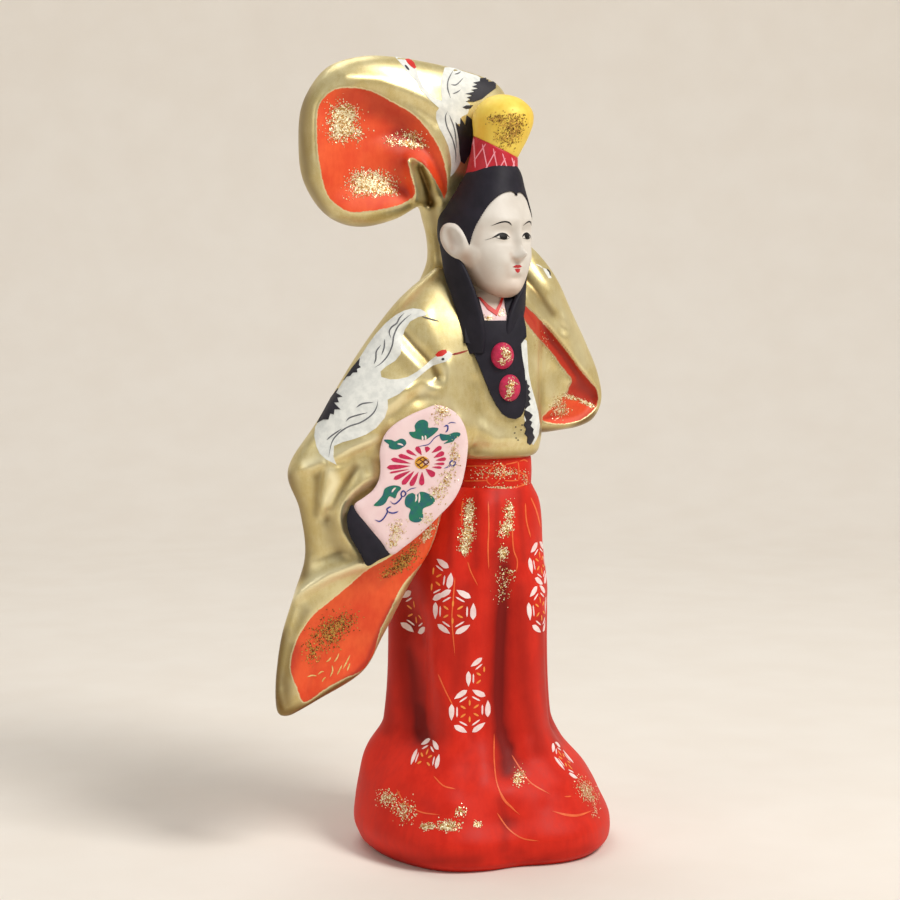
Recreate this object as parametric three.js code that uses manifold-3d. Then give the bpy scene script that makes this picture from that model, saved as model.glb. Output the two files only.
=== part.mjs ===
import * as THREE from 'three';
import { mergeVertices } from 'three/addons/utils/BufferGeometryUtils.js';
import Module from 'manifold-3d';

// Standing clay doll of a dancer, millimetres, +Z up, face and chest toward -Y.
// The doll is pressed in moulds, joined with slip, fired and painted. Each pressed piece is a node.

// Walls, joints and clearances
const WALL = 4.4;
const SLEEVE_WALL = 3.6;
const LINING_WALL = 2.6;
const LINING_RIM = 1.4;
const JOINT = 0.3;
const EASE = 0.3;
const SEAT_EASE = 0.45;
const INLAY = 2.4;

// Levels of the figure above the ground
const SOLE_TOP = 5;
const BAND_LOW = 138;
const BAND_HIGH = 149.4;
const BODICE = 51.6;
const NECKLINE = BAND_HIGH + BODICE;
const SHOULDER_RISE = 11.5;
const SHOULDER_TOP = NECKLINE + SHOULDER_RISE;

// Skirt hole for the kiln's steam
const VENT_RADIUS = 7;
const VENT_BACK = 22;

// Head, with its levels above the neckline
const HEAD_X = -1;
const HEAD_Y = -2;
const HEAD_TURN = 20;
const NECK_X = 0.8;
const NECK_Y = -1.6;
const NECK_RADIUS = 7.4;
const NECK_LOW = NECKLINE - 11;
const NECK_HIGH = NECKLINE + 18;
const NECK_SOCKET = 30;
const HAIR_RISE = 0.5;
const CAP_SIDE = -1;
const HEAD_SIDE = 16.8;
const EAR_STAND = 0.4;
const EAR_RISE = 30.5;

// Direction in which the cap and the crown of the head lean, measured from the front
const LEAN_TURN = 65;

// Planes that the flat sleeves lie in
const RIGHT_PLANE = { x: -12, y: -9, turn: 10 };
const RAISED_PLANE = { x: 0, y: 17, turn: 0 };
const LEFT_PLANE = { x: 0, y: 8, turn: 0 };
const FAN_LIFT = 12.6;
const GUARD_LIFT = 12;
const FAN_HALF = 1.7;
const GUARD_HALF = 2.4;

// Exponents of the sections: 2 would be an ellipse for the body, 1 for the flat pieces
const SQUARENESS = 2.2;
const SOFT_EDGE = 0.75;
const MOUTH_EDGE = 0.85;
const FLAT_EDGE = 0.5;
const LOCK_EDGE = 0.6;

// Fineness of the surfaces, in points round a section and in sections
const ROUND = { skirt: 38, body: 24, sleeve: 16, head: 24, cap: 20, mouth: 12, small: 10, hollow: 9 };
const ROWS = { skirt: 17, body: 9, sleeve: 12, head: 16, mouth: 9, small: 6, hollow: 5 };

const wasm = await Module();
wasm.setup();

const rad = (degrees) => (degrees * Math.PI) / 180;
const bell = (distance, width) => Math.exp(-((distance / width) ** 2));
const spread = (count) => Array.from({ length: count }, (_, index) => index / (count - 1));
const clamp = (value) => Math.min(1, Math.max(0, value));
const power = (value, exponent) => Math.sign(value) * Math.abs(value) ** exponent;
const aboveNeckline = (points) => points.map((point) => [...point.slice(0, -1), NECKLINE + point.at(-1)]);

// Smooth curve through values given at rising stations, without overshoot
function track(stations, values) {
  const last = stations.length - 1;
  const slope = (i) => (values[i + 1] - values[i]) / (stations[i + 1] - stations[i]);
  const tangent = stations.map((_, i) => {
    if (i === 0) return slope(0);
    if (i === last) return slope(last - 1);
    const before = slope(i - 1);
    const after = slope(i);
    return before * after <= 0 ? 0 : (2 * before * after) / (before + after);
  });
  return (at) => {
    if (at <= stations[0]) return values[0];
    if (at >= stations[last]) return values[last];
    let i = 0;
    while (at > stations[i + 1]) i += 1;
    const h = stations[i + 1] - stations[i];
    const u = (at - stations[i]) / h;
    const v = 1 - u;
    return (1 + 2 * u) * v * v * values[i] + u * v * v * h * tangent[i]
      + u * u * (3 - 2 * u) * values[i + 1] - u * u * v * h * tangent[i + 1];
  };
}

const tracks = (levels, keys) => Object.fromEntries(
  keys.map((key) => [key, track(levels.map((level) => level.z), levels.map((level) => level[key]))]),
);

// Closed body from rings of points, each ring with as many points as the next
function loft(rings) {
  const count = rings[0].length;
  const middle = (ring) => ring.reduce((sum, point) => sum.add(point), new THREE.Vector3())
    .divideScalar(ring.length);
  const points = [...rings.flat(), middle(rings[0]), middle(rings[rings.length - 1])];
  const faces = [];
  for (let row = 0; row < rings.length - 1; row += 1) {
    for (let i = 0; i < count; i += 1) {
      const a = row * count + i;
      const b = row * count + ((i + 1) % count);
      faces.push(a, b, b + count, a, b + count, a + count);
    }
  }
  const top = (rings.length - 1) * count;
  for (let i = 0; i < count; i += 1) {
    const next = (i + 1) % count;
    faces.push(next, i, points.length - 2);
    faces.push(top + i, top + next, points.length - 1);
  }
  const geometry = new THREE.BufferGeometry();
  geometry.setAttribute('position', new THREE.Float32BufferAttribute(points.flatMap((p) => p.toArray()), 3));
  geometry.setIndex(faces);
  return solid(geometry);
}

// Manifold body of a closed geometry, with its faces outward
function solid(geometry) {
  geometry.deleteAttribute('normal');
  geometry.deleteAttribute('uv');
  const merged = mergeVertices(geometry, 1e-5);
  const faces = Array.from(merged.index.array);
  const corner = (i) => new THREE.Vector3().fromBufferAttribute(merged.attributes.position, faces[i]);
  let volume = 0;
  for (let i = 0; i < faces.length; i += 3) volume += corner(i).dot(corner(i + 1).cross(corner(i + 2)));
  if (volume < 0) faces.reverse();
  return new wasm.Manifold(new wasm.Mesh({
    numProp: 3,
    vertProperties: new Float32Array(merged.attributes.position.array),
    triVerts: new Uint32Array(faces),
  }));
}

// Point of an upright plane: across runs to the doll's right, lift toward the viewer in front
const placed = (plane, across, level, lift = 0) => {
  const turn = rad(plane.turn);
  return new THREE.Vector3(
    plane.x - across * Math.cos(turn) - lift * Math.sin(turn),
    plane.y + across * Math.sin(turn) - lift * Math.cos(turn),
    level,
  );
};

// Straight prism over an outline in a plane, between two lifts
function prism(plane, outline, low, high) {
  const shape = new THREE.Shape(outline.map(([across, level]) => new THREE.Vector2(across, level)));
  const geometry = new THREE.ExtrudeGeometry(shape, { depth: high - low, bevelEnabled: false });
  const position = geometry.attributes.position;
  for (let i = 0; i < position.count; i += 1) {
    const point = placed(plane, position.getX(i), position.getY(i), low + position.getZ(i));
    position.setXYZ(i, point.x, point.y, point.z);
  }
  return solid(geometry);
}

const FRONT = { x: 0, y: 0, turn: 0 };
const box = (x0, x1, y0, y1, z0, z1) => prism(FRONT, [[-x0, z0], [-x0, z1], [-x1, z1], [-x1, z0]], -y1, -y0);

// Smooth line through points
const through = (points) => new THREE.CatmullRomCurve3(
  points.map((point) => new THREE.Vector3(...point)),
  false,
  'centripetal',
);

// Upright body with a rounded section at each level: x and y are its middle, a and b its half widths.
// Folds run down the surface: at is their bearing from the front at their upper and lower end.
function column(levels, folds, { grow = 0, low, high, round, rows }) {
  const at = tracks(levels, ['x', 'y', 'a', 'b']);
  const relief = (bearing, z) => folds.reduce((sum, fold) => {
    const along = (fold.z[0] - z) / (fold.z[0] - fold.z[1]);
    const middle = fold.at[0] + (fold.at[1] - fold.at[0]) * clamp(along);
    const off = ((bearing - middle + 540) % 360) - 180;
    const fade = fold.fade ?? 8;
    const inside = clamp((fold.z[0] - z) / fade) * clamp((z - fold.z[1]) / fade);
    return sum + fold.high * bell(off, fold.wide) * inside * inside * (3 - 2 * inside);
  }, 0);
  const rings = spread(rows).map((part) => {
    const z = low + (high - low) * part;
    return Array.from({ length: round }, (_, i) => {
      const bearing = (360 * i) / round;
      const across = Math.sin(rad(bearing));
      const front = Math.cos(rad(bearing));
      const a = at.a(z) + grow;
      const b = at.b(z) + grow;
      const section = Math.abs(across / a) ** SQUARENESS + Math.abs(front / b) ** SQUARENESS;
      const fold = relief(bearing, z);
      const radius = section ** (-1 / SQUARENESS) + (grow < -1 ? Math.min(0, fold) : fold);
      return new THREE.Vector3(at.x(z) + radius * across, at.y(z) - radius * front, z);
    });
  });
  return loft(rings);
}

// Flat soft bag between two edges in a plane. Each knot names a point on either edge, the half
// thickness there and how far the middle is lifted toward the viewer.
function pillow(plane, knots, options) {
  const { grow = 0, front = 0, back = 0, rows, round, relief = () => 0, ends = SOFT_EDGE } = options;
  const one = through(knots.map((knot) => [...knot.one, 0]));
  const two = through(knots.map((knot) => [...knot.two, 0]));
  const body = track(knots.map((_, i) => i), knots.map((knot) => knot.half));
  const middle = track(knots.map((_, i) => i), knots.map((knot) => knot.lift ?? 0));
  const rings = spread(rows).map((part) => {
    const a = one.getPoint(part);
    const b = two.getPoint(part);
    const centre = a.clone().add(b).multiplyScalar(0.5);
    const past = part === 0 ? 0.02 : 0.98;
    if (part === 0 || part === 1) {
      const inner = one.getPoint(past).add(two.getPoint(past)).multiplyScalar(0.5);
      centre.addScaledVector(centre.clone().sub(inner).normalize(), grow);
    }
    const half = a.clone().sub(b).multiplyScalar(0.5);
    const width = half.length();
    half.multiplyScalar(Math.max(0.3, width + grow) / width);
    const knot = part * (knots.length - 1);
    const first = body(knot);
    return Array.from({ length: round }, (_, i) => {
      const turn = (2 * Math.PI * i) / round;
      const across = power(Math.cos(turn), ends);
      const out = power(Math.sin(turn), ends);
      const x = centre.x + half.x * across;
      const z = centre.y + half.y * across;
      const depth = out > 0 ? first + grow + front : first + grow + back;
      const lift = middle(knot) + Math.max(0.3, depth) * out + relief(x, z, out) * Math.abs(out) ** 0.6;
      return placed(plane, x, z, lift);
    });
  });
  return loft(rings);
}

// Rounded ridge or furrow along a line from one point to another
const crease = (from, to, wide, high) => (x, z) => {
  const dx = to[0] - from[0];
  const dz = to[1] - from[1];
  const along = clamp(((x - from[0]) * dx + (z - from[1]) * dz) / (dx * dx + dz * dz));
  return high * bell(Math.hypot(x - from[0] - along * dx, z - from[1] - along * dz), wide);
};
const creases = (list) => (x, z, side) => (side > 0 ? list.reduce((sum, one) => sum + one(x, z), 0) : 0);

// Strap along a path over the body, lying flat on the surface that the path runs over
function strap(path, half, thick, middle) {
  const line = through(path);
  const wide = track(spread(half.length), half);
  const rings = spread(ROWS.small + 2).map((part) => {
    const at = line.getPoint(part);
    const out = new THREE.Vector3(at.x - middle[0], at.y - middle[1], 0).normalize();
    const across = line.getTangent(part).cross(out).normalize();
    out.crossVectors(across, line.getTangent(part)).normalize();
    return Array.from({ length: ROUND.small }, (_, i) => {
      const turn = (2 * Math.PI * i) / ROUND.small;
      return at.clone()
        .addScaledVector(across, wide(part) * power(Math.cos(turn), LOCK_EDGE))
        .addScaledVector(out, thick * power(Math.sin(turn), LOCK_EDGE));
    });
  });
  return loft(rings);
}

// Ball flattened against the body
function ball(x, y, z, a, b, c) {
  const geometry = new THREE.SphereGeometry(1, ROUND.small + 2, ROUND.small / 2 + 2);
  geometry.scale(a, b, c);
  geometry.translate(x, y, z);
  return solid(geometry);
}

// Rod standing on a level
function rod(x, y, radius, low, high) {
  const geometry = new THREE.CylinderGeometry(radius, radius, high - low, ROUND.small * 2);
  geometry.rotateX(Math.PI / 2);
  geometry.translate(x, y, (low + high) / 2);
  return solid(geometry);
}

// Skirt: narrow at the waist, full at the knee, spread over the ground
const SKIRT = [
  { z: 0, x: 0, y: 1, a: 45, b: 42 },
  { z: 3, x: 0, y: 1, a: 48, b: 45 },
  { z: 9, x: -1, y: 1, a: 49.4, b: 45 },
  { z: 18, x: -2, y: 3, a: 47, b: 42 },
  { z: 27, x: -2.4, y: 4.5, a: 43, b: 39 },
  { z: 38, x: -3.6, y: 7.4, a: 36, b: 34 },
  { z: 48, x: -3, y: 6.6, a: 31, b: 29.6 },
  { z: 70, x: -3, y: 6.2, a: 29.4, b: 28.4 },
  { z: 94, x: -3, y: 6.2, a: 29, b: 28 },
  { z: 114, x: -2.5, y: 5.5, a: 26.4, b: 25 },
  { z: 125, x: -1, y: 4, a: 24, b: 22 },
  { z: 133, x: 1, y: 1.2, a: 20, b: 17.4 },
  { z: BAND_LOW, x: 2, y: -0.5, a: 16, b: 13.5 },
];
const SKIRT_FOLDS = [
  { at: [2, -9], wide: 10, z: [118, 24], high: -4, fade: 22 },
  { at: [-10, -6], wide: 9, z: [30, -8], high: -6, fade: 8 },
  { at: [-72, -66], wide: 8, z: [94, 34], high: -7, fade: 14 },
  { at: [-38, -44], wide: 17, z: [112, -20], high: 2.6, fade: 24 },
  { at: [26, 26], wide: 18, z: [112, -20], high: 2.4, fade: 24 },
  { at: [60, 66], wide: 8, z: [98, 30], high: -4.4, fade: 18 },
  { at: [92, 88], wide: 16, z: [108, 0], high: 2.2, fade: 22 },
  { at: [-108, -104], wide: 16, z: [108, 14], high: 3, fade: 22 },
  { at: [128, 124], wide: 10, z: [112, 22], high: -3.6, fade: 22 },
  { at: [-146, -150], wide: 10, z: [112, 22], high: -3.6, fade: 22 },
  { at: [168, 172], wide: 22, z: [118, -20], high: 3, fade: 26 },
];
const skirt = (grow, low = 0, high = BAND_LOW) => column(SKIRT, SKIRT_FOLDS, {
  grow, low, high, round: ROUND.skirt, rows: ROWS.skirt,
});
const skirtHollow = (grow) => column(SKIRT, SKIRT_FOLDS, {
  grow, low: -1, high: BAND_LOW + 1, round: ROUND.hollow * 2, rows: ROWS.hollow + 4,
});

// Waistband between the skirt and the bloused robe
const BAND = [
  { z: BAND_LOW, x: 2, y: -1, a: 15, b: 12.6 },
  { z: (BAND_LOW + BAND_HIGH) / 2, x: 2, y: -1, a: 15.3, b: 12.9 },
  { z: BAND_HIGH, x: 2, y: -1, a: 15, b: 12.6 },
];
const band = (grow, low, high) => column(BAND, [], { grow, low, high, round: ROUND.body, rows: 3 });

// Body of the robe
const ROBE = [
  { z: BAND_HIGH + JOINT, x: 2, y: -1, a: 16.2, b: 13.6 },
  { z: BAND_HIGH + 2.6, x: 2, y: -1, a: 18, b: 15.4 },
  { z: BAND_HIGH + 11.6, x: 2, y: -1, a: 19.3, b: 16.6 },
  { z: BAND_HIGH + 25.6, x: 1.5, y: -1, a: 19, b: 16.2 },
  { z: NECKLINE - 11, x: 1, y: -0.6, a: 20, b: 15.8 },
  { z: NECKLINE, x: 0.6, y: 0, a: 20.4, b: 14.6 },
  { z: NECKLINE + 6, x: 0.6, y: 0.4, a: 17, b: 12 },
  { z: SHOULDER_TOP, x: 0.6, y: 0.2, a: 10.6, b: 9.4 },
];
const ROBE_FOLDS = [
  { at: [-46, -30], wide: 10, z: [192, 152], high: 1.4, fade: 12 },
  { at: [48, 34], wide: 10, z: [196, 152], high: 1.4, fade: 12 },
  { at: [160, 176], wide: 16, z: [204, 150], high: 1.6, fade: 14 },
];
const robe = (grow, low = BAND_HIGH + JOINT, high = SHOULDER_TOP) => column(ROBE, ROBE_FOLDS, {
  grow, low, high, round: grow < -1 ? ROUND.hollow : ROUND.body, rows: grow < -1 ? ROWS.hollow : ROWS.body,
});

// Sleeve that hangs at the doll's right, from the shoulder to the pointed tip
const HANGING = [
  { one: [8, 222], two: [-8, 212], half: 5, lift: -14 },
  { one: [24.8, 209.5], two: [-8, 196], half: 10, lift: -7 },
  { one: [41.2, 190], two: [-8, 176], half: 11, lift: -3 },
  { one: [57, 166], two: [-6, 160], half: 11, lift: 0 },
  { one: [68.5, 148], two: [0, 147], half: 10, lift: 0 },
  { one: [64.3, 133], two: [9, 134], half: 9, lift: 0 },
  { one: [62.3, 116], two: [14, 118], half: 8, lift: 0 },
  { one: [66.7, 101], two: [23, 103], half: 7.5, lift: 0 },
  { one: [71.6, 85], two: [33, 84.5], half: 6.8, lift: 0 },
  { one: [74, 68], two: [41, 71.2], half: 6, lift: 0 },
  { one: [73.6, 58], two: [58, 61.5], half: 4, lift: 0 },
  { one: [71.6, 55.4], two: [68, 56], half: 1.6, lift: 0 },
];
const HANGING_FOLDS = creases([
  crease([58, 132], [34, 148], 4.5, -3.2),
  crease([66, 146], [44, 156], 4, 2.2),
  crease([52, 128], [46, 108], 4.5, -2.6),
  crease([60, 122], [56, 104], 4, 2.4),
  crease([16, 204], [40, 168], 5, 1.8),
  crease([8, 196], [26, 176], 4, -2.2),
  crease([30, 168], [4, 190], 4, 2),
  crease([68, 104], [64, 92], 6, 1.6),
]);
const hanging = (grow) => pillow(RIGHT_PLANE, HANGING, {
  grow, rows: ROWS.sleeve + 8, round: ROUND.sleeve, relief: HANGING_FOLDS,
});
const hangingHollow = () => pillow(RIGHT_PLANE, HANGING, {
  grow: -SLEEVE_WALL, rows: ROWS.hollow + 3, round: ROUND.hollow,
});
const HANGING_MOUTH = [
  { one: [17, 131], two: [12.5, 128], half: 2.5, lift: 8 },
  { one: [31, 118], two: [15, 113], half: 5.4, lift: 8 },
  { one: [43, 113.5], two: [20.5, 104], half: 7.4, lift: 7.6 },
  { one: [52.5, 106], two: [25.5, 97.5], half: 8.4, lift: 7.4 },
  { one: [60, 98.5], two: [29.5, 90], half: 8.4, lift: 7 },
  { one: [66, 88], two: [33.8, 81], half: 7.8, lift: 6.8 },
  { one: [69.2, 78], two: [40, 71.4], half: 7, lift: 6.4 },
  { one: [69.4, 70], two: [53, 63.6], half: 5, lift: 5.4 },
  { one: [67, 65], two: [62.5, 62.4], half: 2.4, lift: 4.4 },
];
const hangingMouth = (grow, back = 0) => pillow(RIGHT_PLANE, HANGING_MOUTH, {
  grow, front: 16, back, rows: ROWS.mouth, round: ROUND.mouth, ends: MOUTH_EDGE,
});

// Sleeve thrown up behind the head: a bag with a dished mouth on a column of cloth
const THROWN_BAG = [
  { one: [67.9, 272], two: [67.9, 266], half: 1.6 },
  { one: [65.6, 284], two: [65.6, 252.5], half: 8 },
  { one: [57, 295.6], two: [57.4, 241], half: 11.5 },
  { one: [44, 300], two: [45.6, 236.6], half: 12.6 },
  { one: [30, 300.2], two: [31.5, 239.2], half: 12.6 },
  { one: [13, 297.8], two: [20.5, 244.6], half: 12 },
  { one: [-2, 294.8], two: [8, 247], half: 10.6 },
  { one: [-12, 291], two: [-6, 256], half: 8 },
  { one: [-17.4, 284.6], two: [-15.4, 274], half: 3 },
];
const THROWN_FOLDS = creases([
  crease([28, 262], [24, 246], 3.4, 4),
  crease([24, 260], [20, 244], 2.6, -3.4),
  crease([6, 292], [12, 250], 7, 1.4),
]);
const thrownBag = () => pillow(RAISED_PLANE, THROWN_BAG, {
  rows: ROWS.sleeve, round: ROUND.sleeve + 2, relief: THROWN_FOLDS,
});
const THROWN_STEM = [
  { one: [14, 268], two: [-13, 268], half: 6.5 },
  { one: [20, 250], two: [-16, 252], half: 8 },
  { one: [18.6, 241], two: [-18, 240], half: 8.4 },
  { one: [16.4, 233], two: [-21, 230], half: 8.8 },
  { one: [16.2, 224], two: [-23, 220], half: 9.4, lift: 0.5 },
  { one: [20, 216], two: [-24, 212], half: 9.6, lift: 1.5 },
  { one: [26, 207], two: [-23, 204], half: 8, lift: 2.6 },
  { one: [25, 194], two: [-18, 192], half: 6, lift: 3.4 },
  { one: [16, 178], two: [-12, 177], half: 3.6, lift: 3.6 },
  { one: [6, 168], two: [-5, 167.6], half: 1.2, lift: 2.4 },
];
const thrownStem = () => pillow(RAISED_PLANE, THROWN_STEM, {
  rows: ROWS.sleeve - 3, round: ROUND.sleeve - 2,
});
const thrownHollow = (knots) => pillow(RAISED_PLANE, knots, {
  grow: -SLEEVE_WALL, rows: ROWS.hollow, round: ROUND.hollow,
});
const THROWN_MOUTH = [
  { one: [66, 268], two: [66, 262], half: 2.4, lift: 9 },
  { one: [64.4, 280], two: [64, 253.5], half: 6.4, lift: 11 },
  { one: [57, 287.6], two: [57.6, 244.5], half: 9, lift: 12 },
  { one: [47, 287.6], two: [49, 240.6], half: 10.5, lift: 12.6 },
  { one: [37, 283.4], two: [40, 242], half: 11, lift: 12.6 },
  { one: [28, 279], two: [31.5, 245.6], half: 10.5, lift: 12.4 },
  { one: [20, 273.4], two: [25.6, 249.6], half: 8.6, lift: 12 },
  { one: [15.2, 265.4], two: [19.5, 250.6], half: 5.4, lift: 11.4 },
  { one: [13.4, 256], two: [15.6, 247.6], half: 2.4, lift: 11 },
];
const thrownMouth = (grow, back = 0) => pillow(RAISED_PLANE, THROWN_MOUTH, {
  grow, front: 18, back, rows: ROWS.mouth, round: ROUND.mouth + 2, ends: MOUTH_EDGE,
});

// Sleeve of the lifted left arm, slit down its front edge
const LIFTED = [
  { one: [-21, 232], two: [-13, 229], half: 3, lift: -4 },
  { one: [-27, 225.7], two: [-8, 216], half: 7, lift: -2 },
  { one: [-33.2, 216.5], two: [-6, 206], half: 9, lift: 0 },
  { one: [-39.5, 204], two: [-6, 192], half: 10, lift: 0 },
  { one: [-46, 191.5], two: [-8, 178], half: 10.4, lift: 0 },
  { one: [-51.2, 180], two: [-11, 168], half: 10.2, lift: 0 },
  { one: [-53.2, 169.5], two: [-16, 161], half: 9.4, lift: 0 },
  { one: [-50, 161.8], two: [-20, 157.4], half: 7, lift: 0 },
  { one: [-44, 158.4], two: [-26, 156.6], half: 2.6, lift: 0 },
];
const LIFTED_FOLDS = creases([
  crease([-24, 214], [-36, 200], 3.4, -2.2),
  crease([-30, 216], [-44, 192], 4, 1.6),
  crease([-22, 186], [-18, 166], 4, 1.8),
]);
const lifted = (grow) => pillow(LEFT_PLANE, LIFTED, {
  grow, rows: ROWS.sleeve, round: ROUND.sleeve, relief: LIFTED_FOLDS,
});
const LIFTED_MOUTH = [
  { one: [-11.4, 211], two: [-12.4, 206.6], half: 1.6, lift: 15.4 },
  { one: [-16.6, 206.3], two: [-16.6, 200.8], half: 3, lift: 12.6 },
  { one: [-24, 199], two: [-22.6, 192.6], half: 4.6, lift: 10.4 },
  { one: [-33, 190.6], two: [-30, 183.6], half: 5.6, lift: 10.2 },
  { one: [-42, 182.2], two: [-35.4, 176.8], half: 6, lift: 10.2 },
  { one: [-48.6, 175.4], two: [-31, 170], half: 6.4, lift: 9.8 },
  { one: [-49.2, 168], two: [-25.4, 164.6], half: 6, lift: 9 },
  { one: [-43, 163.2], two: [-28, 161.6], half: 3, lift: 7.4 },
];
const liftedMouth = (grow, back = 0) => pillow(LEFT_PLANE, LIFTED_MOUTH, {
  grow, front: 16, back, rows: ROWS.mouth, round: ROUND.mouth, ends: MOUTH_EDGE,
});

// Head, turned toward the doll's left: f and r reach forward and back of its middle, w to the side
const HEAD = [
  { z: 8.4, f: 13.2, r: -8.4, w: 3, slide: 0 },
  { z: 10, f: 15.6, r: -4, w: 7.4, slide: 0 },
  { z: 14, f: 16.8, r: 2.4, w: 11.6, slide: 0 },
  { z: 19, f: 17.2, r: 9, w: 14.6, slide: 0 },
  { z: 25, f: 16.8, r: 14, w: HEAD_SIDE - 0.6, slide: 0 },
  { z: 32, f: 16.2, r: 17.4, w: HEAD_SIDE, slide: 0 },
  { z: 38, f: 16.4, r: 18, w: HEAD_SIDE - 0.4, slide: 0.3 },
  { z: 44, f: 14.6, r: 15, w: 14, slide: 0.9 },
  { z: 50, f: 12, r: 12, w: 11.6, slide: 1.8 },
  { z: 56, f: 9.4, r: 9.6, w: 9.2, slide: 2.8 },
  { z: 59, f: 7.4, r: 7.6, w: 7.4, slide: 3 },
];
const HEAD_PLANE = { x: HEAD_X, y: HEAD_Y, turn: -HEAD_TURN };
const FEATURES = [
  { across: 0, z: 31, wide: [2.4, 5.4], high: 1.3 },
  { across: 0, z: 25.4, wide: [2.7, 2.3], high: 3 },
  { across: 6.6, z: 32.4, wide: [3.6, 2], high: -0.9 },
  { across: -6.6, z: 32.4, wide: [3.6, 2], high: -0.9 },
  { across: 8.4, z: 22, wide: [4.4, 4.4], high: 0.8 },
  { across: -8.4, z: 22, wide: [4.4, 4.4], high: 0.8 },
  { across: 0, z: 20, wide: [3, 1.3], high: 0.9 },
  { across: 0, z: 16.6, wide: [3.4, 1.3], high: -0.7 },
  { across: 0, z: 12.4, wide: [3.4, 2], high: 0.8 },
];
function head(grow) {
  const at = tracks(HEAD, ['f', 'r', 'w', 'slide']);
  const low = HEAD[0].z - grow;
  const high = HEAD[HEAD.length - 1].z + grow;
  return loft(spread(ROWS.head).map((part) => {
    const z = low + (high - low) * part;
    const f = at.f(z) + grow;
    const r = at.r(z) + grow;
    const middle = (f - r) / 2;
    return Array.from({ length: ROUND.head }, (_, i) => {
      const turn = (2 * Math.PI * i) / ROUND.head;
      const across = (at.w(z) + grow) * power(Math.sin(turn), 0.9);
      const swell = Math.cos(turn) > 0 ? FEATURES.reduce((sum, one) => sum
        + one.high * bell(across - one.across, one.wide[0]) * bell(z - one.z, one.wide[1]), 0) : 0;
      const forward = middle + ((f + r) / 2) * power(Math.cos(turn), 0.9) + swell;
      const point = placed(HEAD_PLANE, across, NECKLINE + z, forward);
      point.x += at.slide(z) * Math.sin(rad(LEAN_TURN));
      point.y -= at.slide(z) * Math.cos(rad(LEAN_TURN));
      return point;
    });
  }));
}
// Hairline of one half of the forehead and temple, from the peak in the middle outward and down
const HAIRLINE = [
  [0, 46.6], [1.5, 48.6], [6.6, 46], [11.9, 40.5], [14.4, 35.3],
  [15.4, 30], [15.6, 21], [19, 21], [19, -1],
];
const TEMPLE = 5;
const HAIRLINE_GAP = HAIRLINE.map(([across, level]) => [
  across + (across > TEMPLE ? JOINT : 0),
  level + JOINT,
]);
const otherHalf = (half) => half.slice(1).reverse().map(([across, level]) => [-across, level]);
const faceRegion = (half, back) => prism(
  HEAD_PLANE,
  aboveNeckline([...half, ...otherHalf(half)]),
  back,
  FACE_REACH,
);
const FACE_BACK = -1;
const FACE_REACH = 40;
const ear = (side, grow) => {
  const shell = new THREE.SphereGeometry(1, ROUND.small + 2, ROUND.small / 2 + 2);
  shell.scale(2.6 + grow, 5.4 + grow, 7.6 + grow);
  shell.rotateX(rad(-8));
  shell.rotateZ(rad(HEAD_TURN + side * 16));
  const middle = placed(HEAD_PLANE, side * (HEAD_SIDE + EAR_STAND), NECKLINE + EAR_RISE, 0.5);
  shell.translate(middle.x, middle.y, middle.z);
  return solid(shell);
};

// Cap: each ring has its middle, along the direction of lean, its radius and its slant
const CAP_BAND = [
  { s: 2.65, z: 55, radius: 10.4, slant: 21.4 },
  { s: 3, z: 60, radius: 9.7, slant: 23.6 },
  { s: 3.45, z: 65.4, radius: 9.3, slant: 25.8 },
];
const CAP_CROWN = [
  { s: 3.5, z: 65.8, radius: 9.2, slant: 25.8 },
  { s: 4.3, z: 68.6, radius: 10, slant: 20.4 },
  { s: 5.2, z: 71.6, radius: 10.8, slant: 14 },
  { s: 6.3, z: 76, radius: 11.4, slant: 5.6 },
  { s: 6.8, z: 80, radius: 10.2, slant: 3.4 },
  { s: 6.5, z: 83.4, radius: 6.6, slant: 2 },
  { s: 6.2, z: 84.8, radius: 2.6, slant: 1 },
];
const capRing = ({ s, z, radius, slant }, grow) => Array.from({ length: ROUND.cap }, (_, i) => {
  const turn = (2 * Math.PI * i) / ROUND.cap;
  const lean = new THREE.Vector3(Math.sin(rad(LEAN_TURN)), -Math.cos(rad(LEAN_TURN)), 0);
  const beside = new THREE.Vector3(Math.cos(rad(LEAN_TURN)), Math.sin(rad(LEAN_TURN)), 0);
  const along = (radius + grow) * Math.cos(turn);
  return lean.clone().multiplyScalar(s + along * Math.cos(rad(slant)))
    .addScaledVector(beside, CAP_SIDE + (radius + grow) * Math.sin(turn))
    .setZ(NECKLINE + z - along * Math.sin(rad(slant)));
});
const cap = (rings, grow = 0) => loft(rings.map((one) => capRing(one, grow)));

// Hair locks from behind the ears over the shoulders, as points on their middle line
const LOCK_RIGHT = [
  [-17.6, 0.5, 30], [-17.8, -4.5, 21], [-16, -9.6, 12], [-13.6, -13.2, 4.4], [-12, -15.2, -3.4],
];
const LOCK_LEFT = [
  [13.2, 7, 30], [14.4, 1, 20], [11.6, -8.4, 10.6], [7, -13.6, 3.4], [3.4, -16.6, -3.4],
];
const LOCK_HALF = [3.4, 3.8, 4, 3.8, 3.4];
const LOCK_THICK = 1.5;

// Breast piece with a square neckline, and the white collar that it frames
const BIB = [
  [16.4, 2.4], [15, -7.2], [13.2, -8.2], [10.4, -15.7], [6.6, -26], [2.6, -33.2], [-1.6, -36],
  [-5.4, -34], [-7.4, -29], [-8, -21], [-7.4, -9], [-8.6, -5.2], [-8, 2.4],
  [0.3, 2.4], [0.3, 0], [8.7, 0], [8.7, 2.4],
];
const COLLAR = [
  [10.6, 11.6], [8.4, 3], [8.4, JOINT], [0.6, JOINT], [0.6, 3],
  [-1.6, 11.6], [-0.4, 11.6], [4.6, 4], [9.4, 11.6],
];
const UNDER_COLLAR = [[9, 11.6], [4.6, 4.5], [0, 11.6], [1.8, 11.6], [4.6, 6.6], [7.4, 11.6]];

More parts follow.
